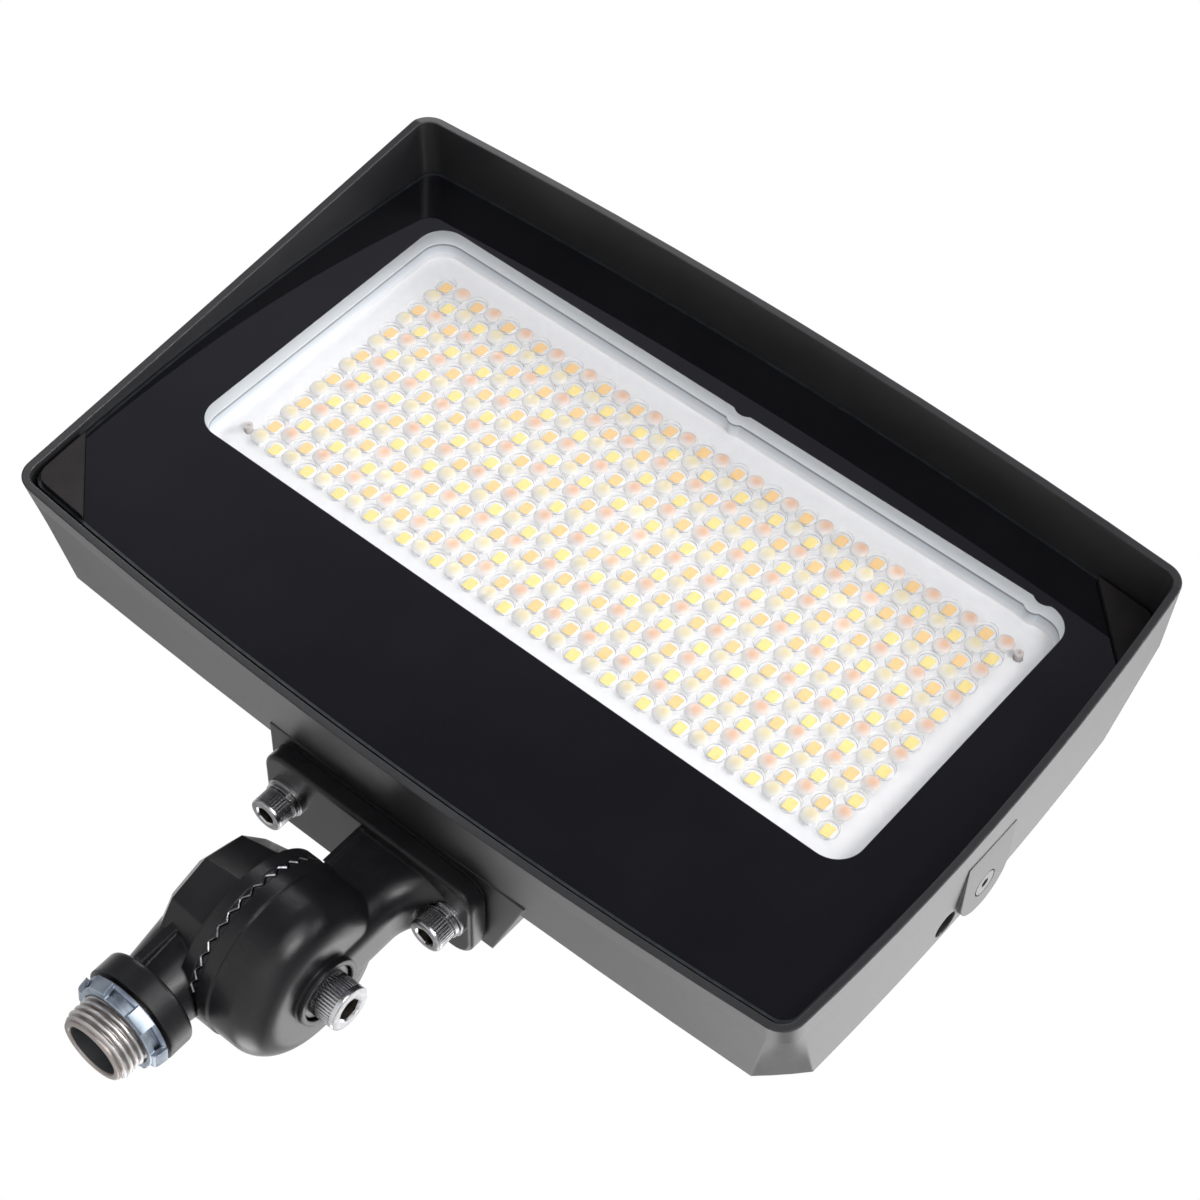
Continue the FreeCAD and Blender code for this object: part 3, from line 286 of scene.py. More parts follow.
def vary_colour(material, shader, factor, first, second, first_at=0.35, second_at=0.65):
    """Let a shader's colour run from the first to the second with a factor."""
    stops = ((first_at, first), (second_at, second))
    link(material, colour_ramp(material, factor, stops), shader.inputs["Base Color"])


def vary_gloss(material, shader, factor, roughness, spread):
    """Let a shader's roughness run by a spread to each side of its middle."""
    varied = scaled(material, factor, roughness - spread, roughness + spread)
    link(material, varied, shader.inputs["Roughness"])


def bumped(material, shader, height, depth, edge=0.0):
    """Give a shader bump, and softened edges where edge is more than 0."""
    bump = add(material, "Bump", Distance=depth)
    link(material, height, bump.inputs["Height"])
    if edge > 0:
        bevel = add(material, "Bevel", Radius=edge)
        bevel.samples = 4
        link(material, bevel.outputs["Normal"], bump.inputs["Normal"])
    link(material, bump.outputs["Normal"], shader.inputs["Normal"])


# Kinds of material
def coat(name, dark, light, roughness, grain, depth, edge, shine):
    """Black coating: fine grain, slightly uneven colour and gloss, soft edges."""
    material = new_material(name)
    shader = principled(material, dark, roughness, Specular_IOR_Level=shine)
    patches = noise(material, scale=60.0, detail=3.0)
    fine = noise(material, grain, detail=3.0)
    vary_colour(material, shader, patches, dark, light)
    vary_gloss(material, shader, fine, roughness, spread=0.06)
    bumped(material, shader, fine, depth, edge)
    return material


def metal(name, dark, light, roughness, scale, depth, edge=0.0, stretch=(1, 1, 1)):
    """Bare or plated metal with fine marks, drawn out where stretch says so."""
    material = new_material(name)
    shader = principled(material, light, roughness, Metallic=1.0)
    marks = noise(material, scale, detail=4.0, stretch=stretch)
    vary_colour(material, shader, marks, dark, light)
    vary_gloss(material, shader, marks, roughness, spread=0.08)
    bumped(material, shader, marks, depth, edge)
    return material


def moulding(name, dark, light, roughness, scale, depth, edge=0.0):
    """Moulded plastic, rubber or ceramic: faint mottling and a fine skin."""
    material = new_material(name)
    shader = principled(material, light, roughness)
    mottle = noise(material, scale, detail=4.0)
    vary_colour(material, shader, mottle, dark, light)
    vary_gloss(material, shader, mottle, roughness, spread=0.05)
    bumped(material, shader, mottle, depth, edge)
    return material


def enamel(name, dark, light, roughness):
    """Glossy black print with faint cloudiness."""
    material = new_material(name)
    shader = principled(material, dark, roughness)
    cloud = noise(material, scale=40.0, detail=2.0)
    vary_colour(material, shader, cloud, dark, light)
    return material


def clear(name, veil_colour, veil, mirror, edge_mirror, roughness):
    """Clear sheet: light goes straight through, with a gloss at its faces and a thin veil of haze."""
    material = new_material(name)
    through = add(material, "BsdfTransparent")
    hazy = principled(material, veil_colour, roughness=0.6)
    dust = noise(material, scale=220.0, detail=4.0)
    body = mixed(material, through.outputs["BSDF"], hazy.outputs["BSDF"])
    link(material, scaled(material, dust, 0.6 * veil, 1.4 * veil), body.inputs["Fac"])
    gloss = add(material, "BsdfGlossy", Roughness=roughness)
    facing = add(material, "LayerWeight", Blend=0.5)
    grazing = add(material, "Math")
    grazing.operation = "POWER"
    grazing.inputs[1].default_value = 5.0
    link(material, facing.outputs["Facing"], grazing.inputs[0])
    surface = mixed(material, body.outputs["Shader"], gloss.outputs["BSDF"])
    link(material, scaled(material, grazing.outputs["Value"], mirror, edge_mirror), surface.inputs["Fac"])
    show(material, surface.outputs["Shader"])
    return material


def painted_shade_reflector(name, stops):
    """White reflector with painted shade: greyer and bluer towards its mouth, with a painted dark shade line
    at the mouth's edge.
    """
    material = new_material(name)
    shader = principled(material, stops[-1][1], roughness=0.35)
    mouth, foot = (corner[1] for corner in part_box("reflector_tray"))
    depth = share_along_y(material, "Object", mouth, foot)
    link(material, colour_ramp(material, depth, stops), shader.inputs["Base Color"])
    skin = noise(material, scale=150.0, detail=4.0)
    bumped(material, shader, skin, depth=0.02 * MM, edge=0.4 * MM)
    return material


def threaded_metal(name, crest, valley_shade, roughness):
    """Satin metal with painted shade: darker and warmer in the valleys of its thread."""
    material = new_material(name)
    shader = principled(material, crest, roughness, Metallic=1.0)
    cut = add(material, "Attribute")
    cut.attribute_name = "valley_shade"
    vary_colour(material, shader, cut.outputs["Fac"], crest, valley_shade, first_at=0.15, second_at=0.95)
    turning_marks = noise(material, scale=400.0, detail=4.0, stretch=(1, 1, 10))
    vary_gloss(material, shader, turning_marks, roughness, spread=0.07)
    bumped(material, shader, turning_marks, depth=0.02 * MM)
    return material


def show_lens(material, shader, share):
    """Show a share of a moulded lens's shader, and let the rest of the light go straight through."""
    through = add(material, "BsdfTransparent")
    body = mixed(material, through.outputs["BSDF"], shader.outputs["BSDF"], Fac=share)
    show(material, body.outputs["Shader"])


def dome_lens(name, rim, core):
    """Moulded lens dome: pale at the rim, with a painted image of the lamp under it, in the lamp's colour,
    where the lens would refract it.
    """
    material = new_material(name)
    shader = principled(material, rim, roughness=0.22, Specular_IOR_Level=0.35)
    image = add(material, "Attribute")
    image.attribute_name = "painted_lamp_image"
    vary_colour(material, shader, image.outputs["Fac"], rim, core, first_at=0.05, second_at=0.95)
    ripples = noise(material, scale=900.0, detail=2.0)
    bumped(material, shader, ripples, depth=0.03 * MM)
    show_lens(material, shader, share=0.5)
    return material


def lens_line(name, dark, light):
    """Moulded edge in the clear lens sheet, light and dark by turns."""
    material = new_material(name)
    shader = principled(material, light, roughness=0.2)
    turns = noise(material, scale=500.0, detail=2.0)
    vary_colour(material, shader, turns, dark, light)
    bumped(material, shader, turns, depth=0.03 * MM)
    show_lens(material, shader, share=0.7)
    return material


# Every finish, as its kind of material and its values
FINISHES = {
    "black_coat": (coat, dict(
        dark=(0.006, 0.006, 0.007), light=(0.009, 0.009, 0.010), roughness=0.42, grain=2600.0,
        depth=0.03 * MM, edge=0.7 * MM, shine=0.55)),
    "satin_coat": (coat, dict(
        dark=(0.006, 0.006, 0.007), light=(0.010, 0.010, 0.011), roughness=0.24, grain=3000.0,
        depth=0.05 * MM, edge=1.0 * MM, shine=0.26)),
    "black_clamp": (coat, dict(
        dark=(0.010, 0.009, 0.009), light=(0.016, 0.014, 0.014), roughness=0.6, grain=1800.0,
        depth=0.04 * MM, edge=0.3 * MM, shine=0.15)),
    "clear_glass": (clear, dict(
        veil_colour=(0.9, 0.95, 1.0), veil=0.0, mirror=0.04, edge_mirror=1.0, roughness=0.02)),
    "black_print": (enamel, dict(
        dark=(0.002, 0.002, 0.003), light=(0.003, 0.003, 0.004), roughness=0.03)),
    "black_rubber": (moulding, dict(
        dark=(0.012, 0.012, 0.012), light=(0.022, 0.022, 0.022), roughness=0.7, scale=900.0,
        depth=0.04 * MM, edge=0.3 * MM)),
    "sealant": (moulding, dict(
        dark=(0.006, 0.008, 0.010), light=(0.012, 0.015, 0.018), roughness=0.35, scale=400.0,
        depth=0.04 * MM)),
    "white_plastic": (moulding, dict(
        dark=(0.86, 0.87, 0.88), light=(0.91, 0.91, 0.92), roughness=0.35, scale=150.0,
        depth=0.02 * MM, edge=0.4 * MM)),
    # Tray: white, with painted shade towards its mouth
    "tray_white": (painted_shade_reflector, dict(stops=TRAY_SHADE_STOPS)),
    "white_board": (moulding, dict(
        dark=(0.83, 0.83, 0.85), light=(0.87, 0.87, 0.89), roughness=0.5, scale=500.0, depth=0.01 * MM)),
    "led_cool": (moulding, dict(
        dark=(0.93, 0.72, 0.21), light=(0.97, 0.78, 0.26), roughness=0.5, scale=1500.0, depth=0.02 * MM)),
    "led_warm": (moulding, dict(
        dark=(0.94, 0.58, 0.20), light=(0.97, 0.64, 0.25), roughness=0.5, scale=1500.0, depth=0.02 * MM)),
    "clear_plastic": (clear, dict(
        veil_colour=(0.93, 0.93, 0.95), veil=0.04, mirror=0.01, edge_mirror=0.12, roughness=0.2)),
    "driver_case": (metal, dict(
        dark=(0.45, 0.46, 0.47), light=(0.58, 0.59, 0.60), roughness=0.4, scale=300.0,
        depth=0.02 * MM, edge=0.4 * MM, stretch=(1, 12, 12))),
    "lead_sleeve": (moulding, dict(
        dark=(0.5, 0.03, 0.03), light=(0.6, 0.05, 0.04), roughness=0.4, scale=500.0, depth=0.01 * MM)),
    "black_plastic": (moulding, dict(
        dark=(0.012, 0.012, 0.013), light=(0.02, 0.02, 0.02), roughness=0.5, scale=1200.0,
        depth=0.03 * MM, edge=0.4 * MM)),
    "bright_steel": (metal, dict(
        dark=(0.38, 0.38, 0.39), light=(0.50, 0.50, 0.51), roughness=0.24, scale=500.0,
        depth=0.01 * MM, edge=0.2 * MM, stretch=(1, 1, 8))),
    # Darker copy of the steel for the screws' flat tops: painted shade
    "screw_face": (metal, dict(
        dark=(0.20, 0.20, 0.21), light=(0.30, 0.30, 0.31), roughness=0.3, scale=700.0, depth=0.01 * MM)),
    "grey_steel": (metal, dict(
        dark=(0.42, 0.40, 0.38), light=(0.58, 0.56, 0.54), roughness=0.32, scale=500.0,
        depth=0.02 * MM, edge=0.2 * MM, stretch=(1, 1, 12))),
    "zinc": (metal, dict(
        dark=(0.24, 0.28, 0.33), light=(0.37, 0.42, 0.48), roughness=0.42, scale=260.0,
        depth=0.03 * MM, edge=0.3 * MM)),
    # Darker copy of the zinc for the locknut's flange: painted shade
    "zinc_shade": (metal, dict(
        dark=(0.20, 0.23, 0.29), light=(0.28, 0.32, 0.39), roughness=0.5, scale=260.0,
        depth=0.03 * MM, edge=0.3 * MM)),
    "thread_metal": (threaded_metal, dict(
        crest=(0.52, 0.51, 0.51), valley_shade=(0.30, 0.27, 0.255), roughness=0.45)),
    # Dark steel in the screw sockets: painted shade
    "socket_shade": (metal, dict(
        dark=(0.07, 0.06, 0.05), light=(0.13, 0.11, 0.095), roughness=0.45, scale=700.0, depth=0.03 * MM)),
    # Near black inside the nipple's bore: painted shade
    "dark_bore": (moulding, dict(
        dark=(0.006, 0.007, 0.009), light=(0.010, 0.011, 0.014), roughness=0.5, scale=400.0,
        depth=0.02 * MM)),
    "lens_edge": (lens_line, dict(dark=(0.55, 0.56, 0.61), light=(0.95, 0.95, 0.96))),
    "dome_cool": (dome_lens, dict(rim=(0.95, 0.95, 0.96), core=(0.96, 0.84, 0.52))),
    "dome_warm": (dome_lens, dict(rim=(0.95, 0.95, 0.96), core=(0.98, 0.61, 0.40))),
    "dark_steel": (metal, dict(
        dark=(0.07, 0.07, 0.07), light=(0.12, 0.12, 0.125), roughness=0.4, scale=500.0,
        depth=0.02 * MM, edge=0.3 * MM)),
    # Lighter bare metal on the teeth's outer edge: partly wear, partly a painted edge highlight
    "worn_edge": (metal, dict(
        dark=(0.10, 0.10, 0.11), light=(0.26, 0.26, 0.27), roughness=0.35, scale=900.0, depth=0.02 * MM)),
    "pin_grey": (moulding, dict(
        dark=(0.42, 0.38, 0.37), light=(0.52, 0.47, 0.46), roughness=0.5, scale=900.0, depth=0.02 * MM)),
}
MATERIALS = {name: kind(name, **values) for name, (kind, values) in FINISHES.items()}


def dress_nodes():
    """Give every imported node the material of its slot, or its own finish.

    The black print throws no shadow, so that the tray behind the glass is lit evenly.
    """
    for node, slot in SLOTS.items():
        mesh = frame["nodes"][node].data
        mesh.materials.clear()
        mesh.materials.append(MATERIALS[OWN_FINISHES.get(node, slot)])
    frame["nodes"]["glass_frit"].visible_shadow = False


# Solids of the detail pieces
class Shell:
    """Points and faces of one piece, gathered solid by solid."""

    def __init__(self):
        self.points = []
        self.faces = []
        self.finishes = []

    def add(self, solid, place=Matrix()):
        points, faces, finishes = solid
        start = len(self.points)
        self.points += [place @ Vector(point) for point in points]
        self.faces += [tuple(start + corner for corner in face) for face in faces]
        self.finishes += finishes


def turned(rows, columns, tube=False):
    """Solid about Z from rows of (radius, height, finish); a radius may be a function of angle and height."""
    points, faces, finishes, rings = [], [], [], []
    for radius, height, finish in rows:
        if radius == 0:
            rings.append([len(points)] * columns)
            points.append((0, 0, height))
            continue
        rings.append(range(len(points), len(points) + columns))
        for column in range(columns):
            angle = math.tau * column / columns
            reach = radius(angle, height) if callable(radius) else radius
            points.append((reach * math.cos(angle), reach * math.sin(angle), height))
    steps = list(zip(rings, rings[1:]))
    if tube:
        steps.append((rings[-1], rings[0]))
    for step, (low, high) in enumerate(steps):
        for column in range(columns):
            after = (column + 1) % columns
            corners = (low[column], low[after], high[after], high[column])
            faces.append(tuple(dict.fromkeys(corners)))
            finishes.append(rows[step][2])
    return points, faces, finishes


def prism(outline, low, high, finish=0):
    """Straight solid on an outline in X and Y, from low to high in Z."""
    count = len(outline)
    points = [(x, y, low) for x, y in outline] + [(x, y, high) for x, y in outline]
    faces = [tuple(range(count)), tuple(range(count, 2 * count))]
    for corner in range(count):
        after = (corner + 1) % count
        faces.append((corner, after, count + after, count + corner))
    return points, faces, [finish] * len(faces)


def rounded_rectangle(width, height, corner, steps=3):
    """Outline of a rectangle about the origin with round corners."""
    outline = []
    for quarter, (side_x, side_y) in enumerate(((1, 1), (-1, 1), (-1, -1), (1, -1))):
        for step in range(steps + 1):
            angle = math.pi / 2 * (quarter + step / steps)
            x = side_x * (width / 2 - corner) + corner * math.cos(angle)
            y = side_y * (height / 2 - corner) + corner * math.sin(angle)
            outline.append((x, y))
    return outline


def place_along(origin, axis):
    """Placement that turns local Z to an axis and starts at an origin."""
    return Matrix.Translation(origin) @ Vector(axis).to_track_quat("Z", "Y").to_matrix().to_4x4()


def place_in_window(x, z, y):
    """Placement on the LED board: local X across, local Y up, local Z out of the glass."""
    return Matrix.Translation((x, y, z)) @ Matrix.Rotation(math.pi / 2, 4, "X")


def make_piece(name, shell, finishes, body, replaced=(), crease=35):
    """Link a closed mesh, let it ride on its body and hide the parts it replaces.

    Edges that turn by more than crease, in degrees, stay sharp.
    """
    mesh = bpy.data.meshes.new(name)
    mesh.from_pydata(shell.points, [], shell.faces)
    for finish in finishes:
        mesh.materials.append(MATERIALS[finish])
    mesh.polygons.foreach_set("material_index", shell.finishes)
    work = bmesh.new()
    work.from_mesh(mesh)
    bmesh.ops.recalc_face_normals(work, faces=work.faces)
    work.to_mesh(mesh)
    work.free()
    mesh.shade_smooth()
    mesh.set_sharp_from_angle(angle=math.radians(crease))
    piece = bpy.data.objects.new(name, mesh)
    bpy.context.scene.collection.objects.link(piece)
    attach(piece, body)
    if replaced:
        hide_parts(*replaced)
    return piece


def clamped(share):
    """A share kept between 0 and 1."""
    return min(1.0, max(0.0, share))


def mark_points(piece, name, value):
    """Store a value from 0 to 1 at each point of a piece, for its material."""
    layer = piece.data.attributes.new(name, "FLOAT", "POINT")
    for number, vertex in enumerate(piece.data.vertices):
        layer.data[number].value = clamped(value(number, vertex.co))


def node_box(node):
    low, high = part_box(node)
    return Vector(low), Vector(high)


# Nipple and locknut
def thread_form(angle, height):
    """Share of the thread's depth cut away at an angle and height: flat crests, sloping flanks."""
    phase = (height / THREAD_PITCH - angle / math.tau) % 1.0
    return clamped((abs(phase - 0.5) - THREAD_HALF_CREST) / THREAD_FLANK)


def make_nipple():
    """Tube with a cut thread; its second finish paints shade into the bore."""
    low, high = node_box("nipple")
    crest = high.x

    def threaded(angle, height):
        above_tip = height - low.z
        lead = NIPPLE_TIP + (crest - NIPPLE_TIP) * clamped(above_tip / NIPPLE_LEAD)
        growth = clamped((above_tip - THREAD_START) / THREAD_GROWTH)
        return lead - THREAD_DEPTH * growth * thread_form(angle, height) * lead / crest

    steps = round((THREAD_TOP - low.z) / THREAD_PITCH * THREAD_ROWS_PER_TURN)
    rows = [(NIPPLE_BORE, high.z, 1), (NIPPLE_BORE, low.z + NIPPLE_BORE_CHAMFER_DEPTH, 0),
            (NIPPLE_BORE + NIPPLE_BORE_CHAMFER, low.z, 0), (NIPPLE_TIP - NIPPLE_TIP_EDGE, low.z, 0)]
    for step in range(1, steps + 1):
        rows.append((threaded, low.z + (THREAD_TOP - low.z) * step / steps, 0))
    rows += [(NIPPLE_STUB, THREAD_TOP + THREAD_RUN_OUT, 0), (NIPPLE_STUB, high.z, 1)]
    shell = Shell()
    shell.add(turned(rows, NIPPLE_COLUMNS, tube=True))
    finishes = ("thread_metal", "dark_bore")
    piece = make_piece("nipple_thread", shell, finishes, "base", ["nipple"], NIPPLE_CREASE)
    # Depth into the thread, for the painted shade in its valleys
    mark_points(piece, "valley_shade", lambda number, point: (crest - math.hypot(point.x, point.y)) / THREAD_DEPTH)


def lug_outline(front, back):
    """Side view of one bent lug, as radius and height: out from the ring, then back towards the collar."""
    root = LOCKNUT_RING - LUG_ROOT
    bent = LUG_TIP - LUG_SPLAY
    inside_run = 2 * LUG_BEND_RUN
    outer = [(root, front), (bent - LUG_BEND - LUG_BEND_RUN, front),
             (bent - LUG_BEND_CORNER, front + LUG_BEND_CORNER), (bent, front + LUG_BEND), (LUG_TIP, back)]
    inside = [(LUG_TIP - LUG_THICKNESS, back), (bent - LUG_THICKNESS, front + LUG_BEND + inside_run),
              (bent - LUG_BEND - inside_run, front + LUG_THICKNESS), (root, front + LUG_THICKNESS)]
    return outer + inside


def make_locknut():
    """Front ring, hub and rear flange on one bore, with bent lugs round the ring."""
    low, high = node_box("locknut")
    front = low.z
    ring_top = front + LOCKNUT_RING_DEPTH
    flange_front = high.z - FLANGE_THICKNESS
    hub_radius = LOCKNUT_RING - HUB_INSET
    edge = LOCKNUT_EDGE
    ring = [(LOCKNUT_BORE, ring_top, 0), (LOCKNUT_BORE, front + edge, 0), (LOCKNUT_BORE + edge, front, 0),
            (LOCKNUT_RING - edge, front, 0), (LOCKNUT_RING, front + edge, 0), (LOCKNUT_RING, ring_top, 0)]
    # The rear flange takes the second finish, a darker copy of the zinc: painted shade
    flange = [(LOCKNUT_BORE, high.z, 1), (LOCKNUT_BORE, flange_front, 1),
              (FLANGE_RADIUS - edge, flange_front, 1), (FLANGE_RADIUS, flange_front + edge, 1),
              (FLANGE_RADIUS, high.z, 1)]
    hub = [(LOCKNUT_BORE, flange_front + edge, 0), (LOCKNUT_BORE, ring_top - edge, 0),
           (hub_radius, ring_top - edge, 0), (hub_radius, flange_front + edge, 0)]
    shell = Shell()
    for rows in (ring, flange, hub):
        shell.add(turned(rows, LOCKNUT_COLUMNS, tube=True))
    lug = prism(lug_outline(front + LUG_FRONT_GAP, high.z - LUG_BACK_GAP), -LUG_WIDTH / 2, LUG_WIDTH / 2)
    upright = Matrix.Rotation(math.pi / 2, 4, "X")
    for number in range(LUG_COUNT):
        turn = Matrix.Rotation(LUG_FIRST_ANGLE + math.tau * number / LUG_COUNT, 4, "Z")
        shell.add(lug, turn @ upright)
    make_piece("locknut_stamping", shell, ("zinc", "zinc_shade"), "locknut", ["locknut"])


# Knuckle teeth
def toothed_ring(side):
    """Ring of radial teeth on one side of the joint face; local Z is the tilt axis from that face.

    The bevel at the outer edge has the second finish.
    """
    columns = 2 * TOOTH_COUNT
    root = side * (TOOTH_ROOT + TOOTH_BEVEL)
    points, faces, finishes = [], [], []
    for column in range(columns):
        angle = math.tau * column / columns
        tip = (TOOTH_HEIGHT if column % 2 else -TOOTH_HEIGHT) + side * TOOTH_GAP
        section = ((TOOTH_INNER, root), (TOOTH_OUTER, root), (TOOTH_OUTER, tip + side * TOOTH_BEVEL),
                   (TOOTH_OUTER - TOOTH_BEVEL, tip), (TOOTH_INNER, tip))
        for radius, level in section:
            points.append((radius * math.cos(angle), radius * math.sin(angle), level))
    corners = len(section)
    bevel_corner = 2
    for column in range(columns):
        here = corners * column
        there = corners * ((column + 1) % columns)
        for corner in range(corners):
            after = (corner + 1) % corners
            faces.append((here + corner, there + corner, there + after, here + after))
            finishes.append(1 if corner == bevel_corner else 0)
    return points, faces, finishes


def make_teeth():
    """Two meshing rings; the lower one has lighter bare metal at its outer edge: partly wear, partly a
    painted edge highlight.
    """
    joint = place_along(Vector((JOINT_FACE, 0, JOINT_HEIGHT)), (1, 0, 0))
    rings = (("base_teeth", "base", "knuckle_base", -1, "worn_edge"),
             ("bracket_teeth", "head", "bracket", 1, SLOTS["bracket"]))
    for name, body, node, side, edge_finish in rings:
        shell = Shell()
        shell.add(toothed_ring(side), joint)
        make_piece(name, shell, (SLOTS[node], edge_finish), body, crease=TOOTH_CREASE)


# Screws and washers
def socket_screw(head, height, across, knurls, shank, length):
    """Socket head screw along Z: the head's top at 0, its shank below.

    Its finishes are the steel, the socket and the head's flat top; the socket's is painted shade, and the
    top's is a darker copy of the steel, painted shade too.
    """
    edge = SCREW_EDGE
    depth = SOCKET_DEPTH_SHARE * across
    rim = HEAD_RIM_SHARE * head
    point = SHANK_POINT_SHARE * shank

    def hexagon(angle, level):
        return across / 2 / math.cos((angle + math.pi / 6) % (math.pi / 3) - math.pi / 6)

    def knurled(angle, level):
        return head - KNURL_DEPTH * max(0.0, abs((angle * knurls / math.tau) % 1.0 - 0.5) * 4 - 1)

    # The socket and its cone take the second finish, painted shade
    socket = [(0, -depth - SOCKET_CONE_SHARE * across, 1), (hexagon, -depth, 1), (hexagon, -edge, 0)]
    top = [(SOCKET_MOUTH_SHARE * across / 2, 0, 2), (head - 2 * edge, 0, 2),
           (head - 0.6 * edge, -0.4 * edge, 0), (head, -1.4 * edge, 0)]
    side = [(head, -rim, 0), (knurled, -rim - 0.5 * edge, 0), (knurled, -height + edge, 0),
            (head - edge, -height, 0)]
    stem = [(shank, -height, 0), (shank, -length + point, 0), (shank - point, -length, 0), (0, -length, 0)]
    return turned(socket + top + side + stem, KNURL_STEPS * knurls)


def islands(node):
    """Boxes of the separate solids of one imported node, from left to right."""
    work = bmesh.new()
    work.from_mesh(frame["nodes"][node].data)
    bmesh.ops.remove_doubles(work, verts=work.verts, dist=SAME_POINT)
    unseen = set(work.verts)
    boxes = []
    while unseen:
        group = [unseen.pop()]
        for vertex in group:
            for edge in vertex.link_edges:
                other = edge.other_vert(vertex)
                if other in unseen:
                    unseen.remove(other)
                    group.append(other)
        low = Vector(min(vertex.co[axis] for vertex in group) for axis in range(3))
        high = Vector(max(vertex.co[axis] for vertex in group) for axis in range(3))
        boxes.append((low, high))
    work.free()
    return sorted(boxes, key=lambda box: box[0].x)


def split_ring(inner, outer, thickness):
    """Split lock washer about Z, from 0 up, its two ends a little apart and out of line."""
    points, faces = [], []
    low = SPLIT_SLACK * thickness
    high = thickness - low
    for step in range(SPLIT_STEPS + 1):
        share = step / SPLIT_STEPS
        angle = SPLIT_TURN + SPLIT_ANGLE / 2 + (math.tau - SPLIT_ANGLE) * share
        lean = SPLIT_LEAN * thickness * (share - 0.5)
        for radius, level in ((inner, low), (outer, low), (outer, high), (inner, high)):
            points.append((radius * math.cos(angle), radius * math.sin(angle), level + lean))
    for step in range(SPLIT_STEPS):
        here = 4 * step
        for corner in range(4):
            after = (corner + 1) % 4
            faces.append((here + corner, here + 4 + corner, here + 4 + after, here + after))
    faces += [(0, 1, 2, 3), tuple(4 * SPLIT_STEPS + corner for corner in range(4))]
    return points, faces, [0] * len(faces)


def make_screws():
    """Two screws of the bracket plate and the bolt through the knuckle."""
    finishes = ("bright_steel", "socket_shade", "screw_face")
    shell = Shell()
    for low, high in islands("bracket_screws"):
        middle = (low + high) / 2
        screw = socket_screw(length=high.z - low.z, **M6)
        shell.add(screw, place_along((middle.x, middle.y, low.z), (0, 0, -1)))
    make_piece("plate_socket_screws", shell, finishes, "head", ["bracket_screws"])
    low, high = node_box("knuckle_bolt")
    shell = Shell()
    bolt = socket_screw(length=high.x - low.x, **M8)
    shell.add(bolt, place_along((high.x, 0, JOINT_HEIGHT), (1, 0, 0)))
    make_piece("knuckle_socket_bolt", shell, finishes, "base", ["knuckle_bolt"])


def make_split_washers():
    shell = Shell()
    for low, high in islands("spring_washers"):
        middle = (low + high) / 2
        ring = split_ring(M6["shank"] + SPLIT_BORE_GAP, (high.y - low.y) / 2, high.z - low.z)
        shell.add(ring, Matrix.Translation((middle.x, middle.y, low.z)))
    make_piece("split_washers", shell, (SLOTS["spring_washers"],), "head",
               ["spring_washers"])


# LED field
def led_sites():
    """Column, row, X and Z of each LED, rows counted from the bottom."""
    low = node_box("leds_cool")[0]
    high = node_box("leds_warm")[1]
    step_x = (high.x - low.x - LED_WIDTH) / (LED_COLUMNS - 1)
    step_z = (high.z - low.z - LED_HEIGHT) / (LED_ROWS - 1)
    for row in range(LED_ROWS):
        for column in range(LED_COLUMNS):
            yield column, row, low.x + LED_WIDTH / 2 + column * step_x, low.z + LED_HEIGHT / 2 + row * step_z


def domed(column, row):
    """Every second lamp lies under a dome."""
    return (column + row) % 2 == 0


def make_leds():
    """White packages, one piece for each colour of lamp; those that no dome covers show a phosphor pad."""
    low, high = node_box("leds_cool")
    rise = high.y - low.y
    pad_foot = rise - PHOSPHOR_RISE
    package = prism(rounded_rectangle(LED_WIDTH, LED_HEIGHT, LED_CORNER, steps=1), 0, pad_foot)
    pad_outline = rounded_rectangle(PHOSPHOR_WIDTH, PHOSPHOR_HEIGHT, PHOSPHOR_CORNER)
    pad = prism(pad_outline, pad_foot - PHOSPHOR_SINK, rise, finish=1)
    shells = (Shell(), Shell())
    for column, row, x, z in led_sites():
        place = place_in_window(x, z, high.y)
        shells[row % 2].add(package, place)
        if not domed(column, row):
            shells[row % 2].add(pad, place)
    for shell, node in zip(shells, ("leds_cool", "leds_warm")):
        make_piece(node + "_lamps", shell, ("white_plastic", SLOTS[node]), "head", [node])


# Lens sheet
def make_lens_plate():
    """Clear lens sheet as one plain plate."""
    low, high = node_box("lens_sheet")
    middle = (low + high) / 2
    outline = rounded_rectangle(high.x - low.x, high.z - low.z, LENS_CORNER)
    shell = Shell()
    shell.add(prism(outline, -LENS_THICKNESS, 0), place_in_window(middle.x, middle.z, low.y))
    make_piece("lens_plate", shell, ("clear_plastic",), "head", ["lens_sheet"])


def lens_dome():
    """Low dome on a flat base, along Z from 0."""
    rows = [(0, 0, 0)]
    for step in range(DOME_STEPS):
        angle = math.pi / 2 * step / DOME_STEPS
        rows.append((DOME_RADIUS * math.cos(angle), DOME_RISE * math.sin(angle), 0))
    rows.append((0, DOME_RISE, 0))
    return turned(rows, DOME_COLUMNS)


def painted_lamp_image(point, centre):
    """Strength of the painted image of the lamp at a point of the dome over it: 1 at the image's middle."""
    offset = Vector((point.x, point.z)) - Vector(centre) - DOME_PAINTED_IMAGE_SHIFT
    return (DOME_IMAGE_REACH - offset.length) / (DOME_IMAGE_REACH - DOME_IMAGE_CORE)


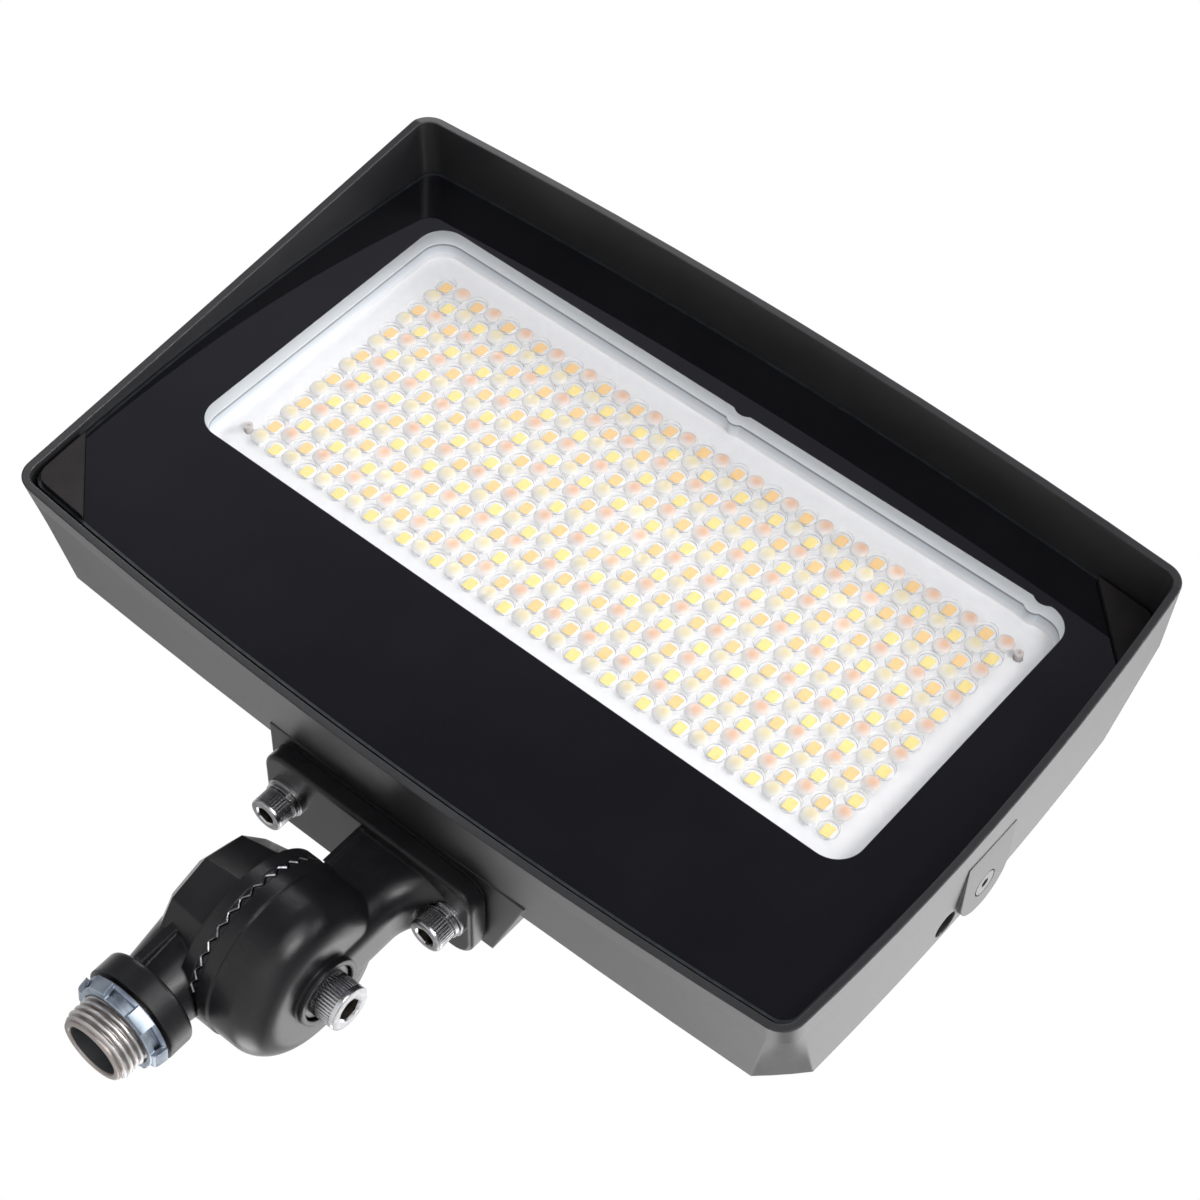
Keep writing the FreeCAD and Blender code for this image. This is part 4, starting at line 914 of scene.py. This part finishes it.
def make_domes():
    """Domes over every second lamp, one piece for each colour of lamp. Clear lenses throw no shadow."""
    face = node_box("lens_sheet")[0].y
    dome = lens_dome()
    points_per_dome = len(dome[0])
    shells = (Shell(), Shell())
    centres = ([], [])
    for column, row, x, z in led_sites():
        if domed(column, row):
            shells[row % 2].add(dome, place_in_window(x, z, face))
            centres[row % 2].append((x, z))
    for shell, middles, finish in zip(shells, centres, ("dome_cool", "dome_warm")):
        piece = make_piece("lens_" + finish, shell, (finish,), "head")
        piece.visible_shadow = False
        mark_points(piece, "painted_lamp_image",
                    lambda number, point: painted_lamp_image(point, middles[number // points_per_dome]))


def cup_line(radius):
    """Thin ring of triangular section about Z."""
    section = [(radius, 0, 0), (radius + CUP_LINE, 0, 0), (radius + CUP_LINE / 2, CUP_LINE, 0)]
    return turned(section, CUP_COLUMNS, tube=True)


def make_cups():
    """Rim and foot of a clear cup round each lamp without a dome. Clear lenses throw no shadow."""
    face = node_box("lens_sheet")[0].y
    foot = node_box("leds_cool")[0].y
    rim_line = cup_line(CUP_RADIUS)
    foot_line = cup_line(CUP_FOOT_RADIUS)
    shell = Shell()
    for column, row, x, z in led_sites():
        if not domed(column, row):
            shell.add(rim_line, place_in_window(x, z, face))
            shell.add(foot_line, place_in_window(x, z, foot))
    piece = make_piece("lens_cups", shell, ("lens_edge",), "head")
    piece.visible_shadow = False


# Camera, floor and light
def make_camera():
    data = bpy.data.cameras.new("camera")
    data.lens = CAMERA_LENS
    data.sensor_width = CAMERA_SENSOR
    camera = bpy.data.objects.new("camera", data)
    bpy.context.scene.collection.objects.link(camera)
    back = CAMERA_BACK.normalized()
    up = back.cross(CAMERA_RIGHT).normalized()
    right = up.cross(back)
    turn = Matrix((right, up, back)).transposed().to_4x4()
    camera.matrix_world = Matrix.Translation(CAMERA_PLACE) @ turn
    bpy.context.scene.camera = camera


def make_floor():
    half = FLOOR_SIZE / 2
    mesh = bpy.data.meshes.new("floor")
    corners = [(x, y, FLOOR_HEIGHT) for x, y in ((-half, -half), (half, -half), (half, half), (-half, half))]
    mesh.from_pydata(corners, [], [(0, 1, 2, 3)])
    floor = bpy.data.objects.new("floor", mesh)
    bpy.context.scene.collection.objects.link(floor)
    material = new_material("floor")
    principled(material, FLOOR_COLOUR, FLOOR_ROUGHNESS)
    mesh.materials.append(material)


def make_world():
    """White where it is seen directly; in reflections it runs from grey in front to white at the back."""
    world = bpy.data.worlds.new("world")
    bpy.context.scene.world = world
    world.use_nodes = True
    nodes = world.node_tree.nodes
    ambient = nodes["Background"]
    ambient.inputs["Color"].default_value = (*WHITE, 1)
    ambient.inputs["Strength"].default_value = WORLD_LIGHT
    mirrored = add(world, "Background")
    depth = share_along_y(world, "Generated", WORLD_FRONT, WORLD_BACK)
    link(world, colour_ramp(world, depth, WORLD_STOPS), mirrored.inputs["Color"])
    backdrop = add(world, "Background", Color=(*WHITE, 1))
    path = add(world, "LightPath")
    mirror_ray = add(world, "Math")
    mirror_ray.operation = "MAXIMUM"
    link(world, path.outputs["Is Glossy Ray"], mirror_ray.inputs[0])
    link(world, path.outputs["Is Transmission Ray"], mirror_ray.inputs[1])
    around = mixed(world, ambient.outputs["Background"], mirrored.outputs["Background"])
    link(world, mirror_ray.outputs["Value"], around.inputs["Fac"])
    view = mixed(world, around.outputs["Shader"], backdrop.outputs["Background"])
    link(world, path.outputs["Is Camera Ray"], view.inputs["Fac"])
    link(world, view.outputs["Shader"], nodes["World Output"].inputs["Surface"])


def make_lamps():
    for name, (place, size, power) in LAMPS.items():
        data = bpy.data.lights.new(name, "AREA")
        data.shape = "DISK"
        data.size = size
        data.energy = power
        lamp = bpy.data.objects.new(name, data)
        bpy.context.scene.collection.objects.link(lamp)
        lamp.location = place
        lamp.rotation_mode = "QUATERNION"
        lamp.rotation_quaternion = (LAMP_AIM - Vector(place)).to_track_quat("-Z", "Y")
        lamp.visible_camera = False


dress_nodes()
make_nipple()
make_locknut()
make_teeth()
make_screws()
make_split_washers()
make_leds()
make_lens_plate()
make_domes()
make_cups()
make_camera()
make_floor()
make_world()
make_lamps()
bpy.context.scene.view_settings.view_transform = "Standard"
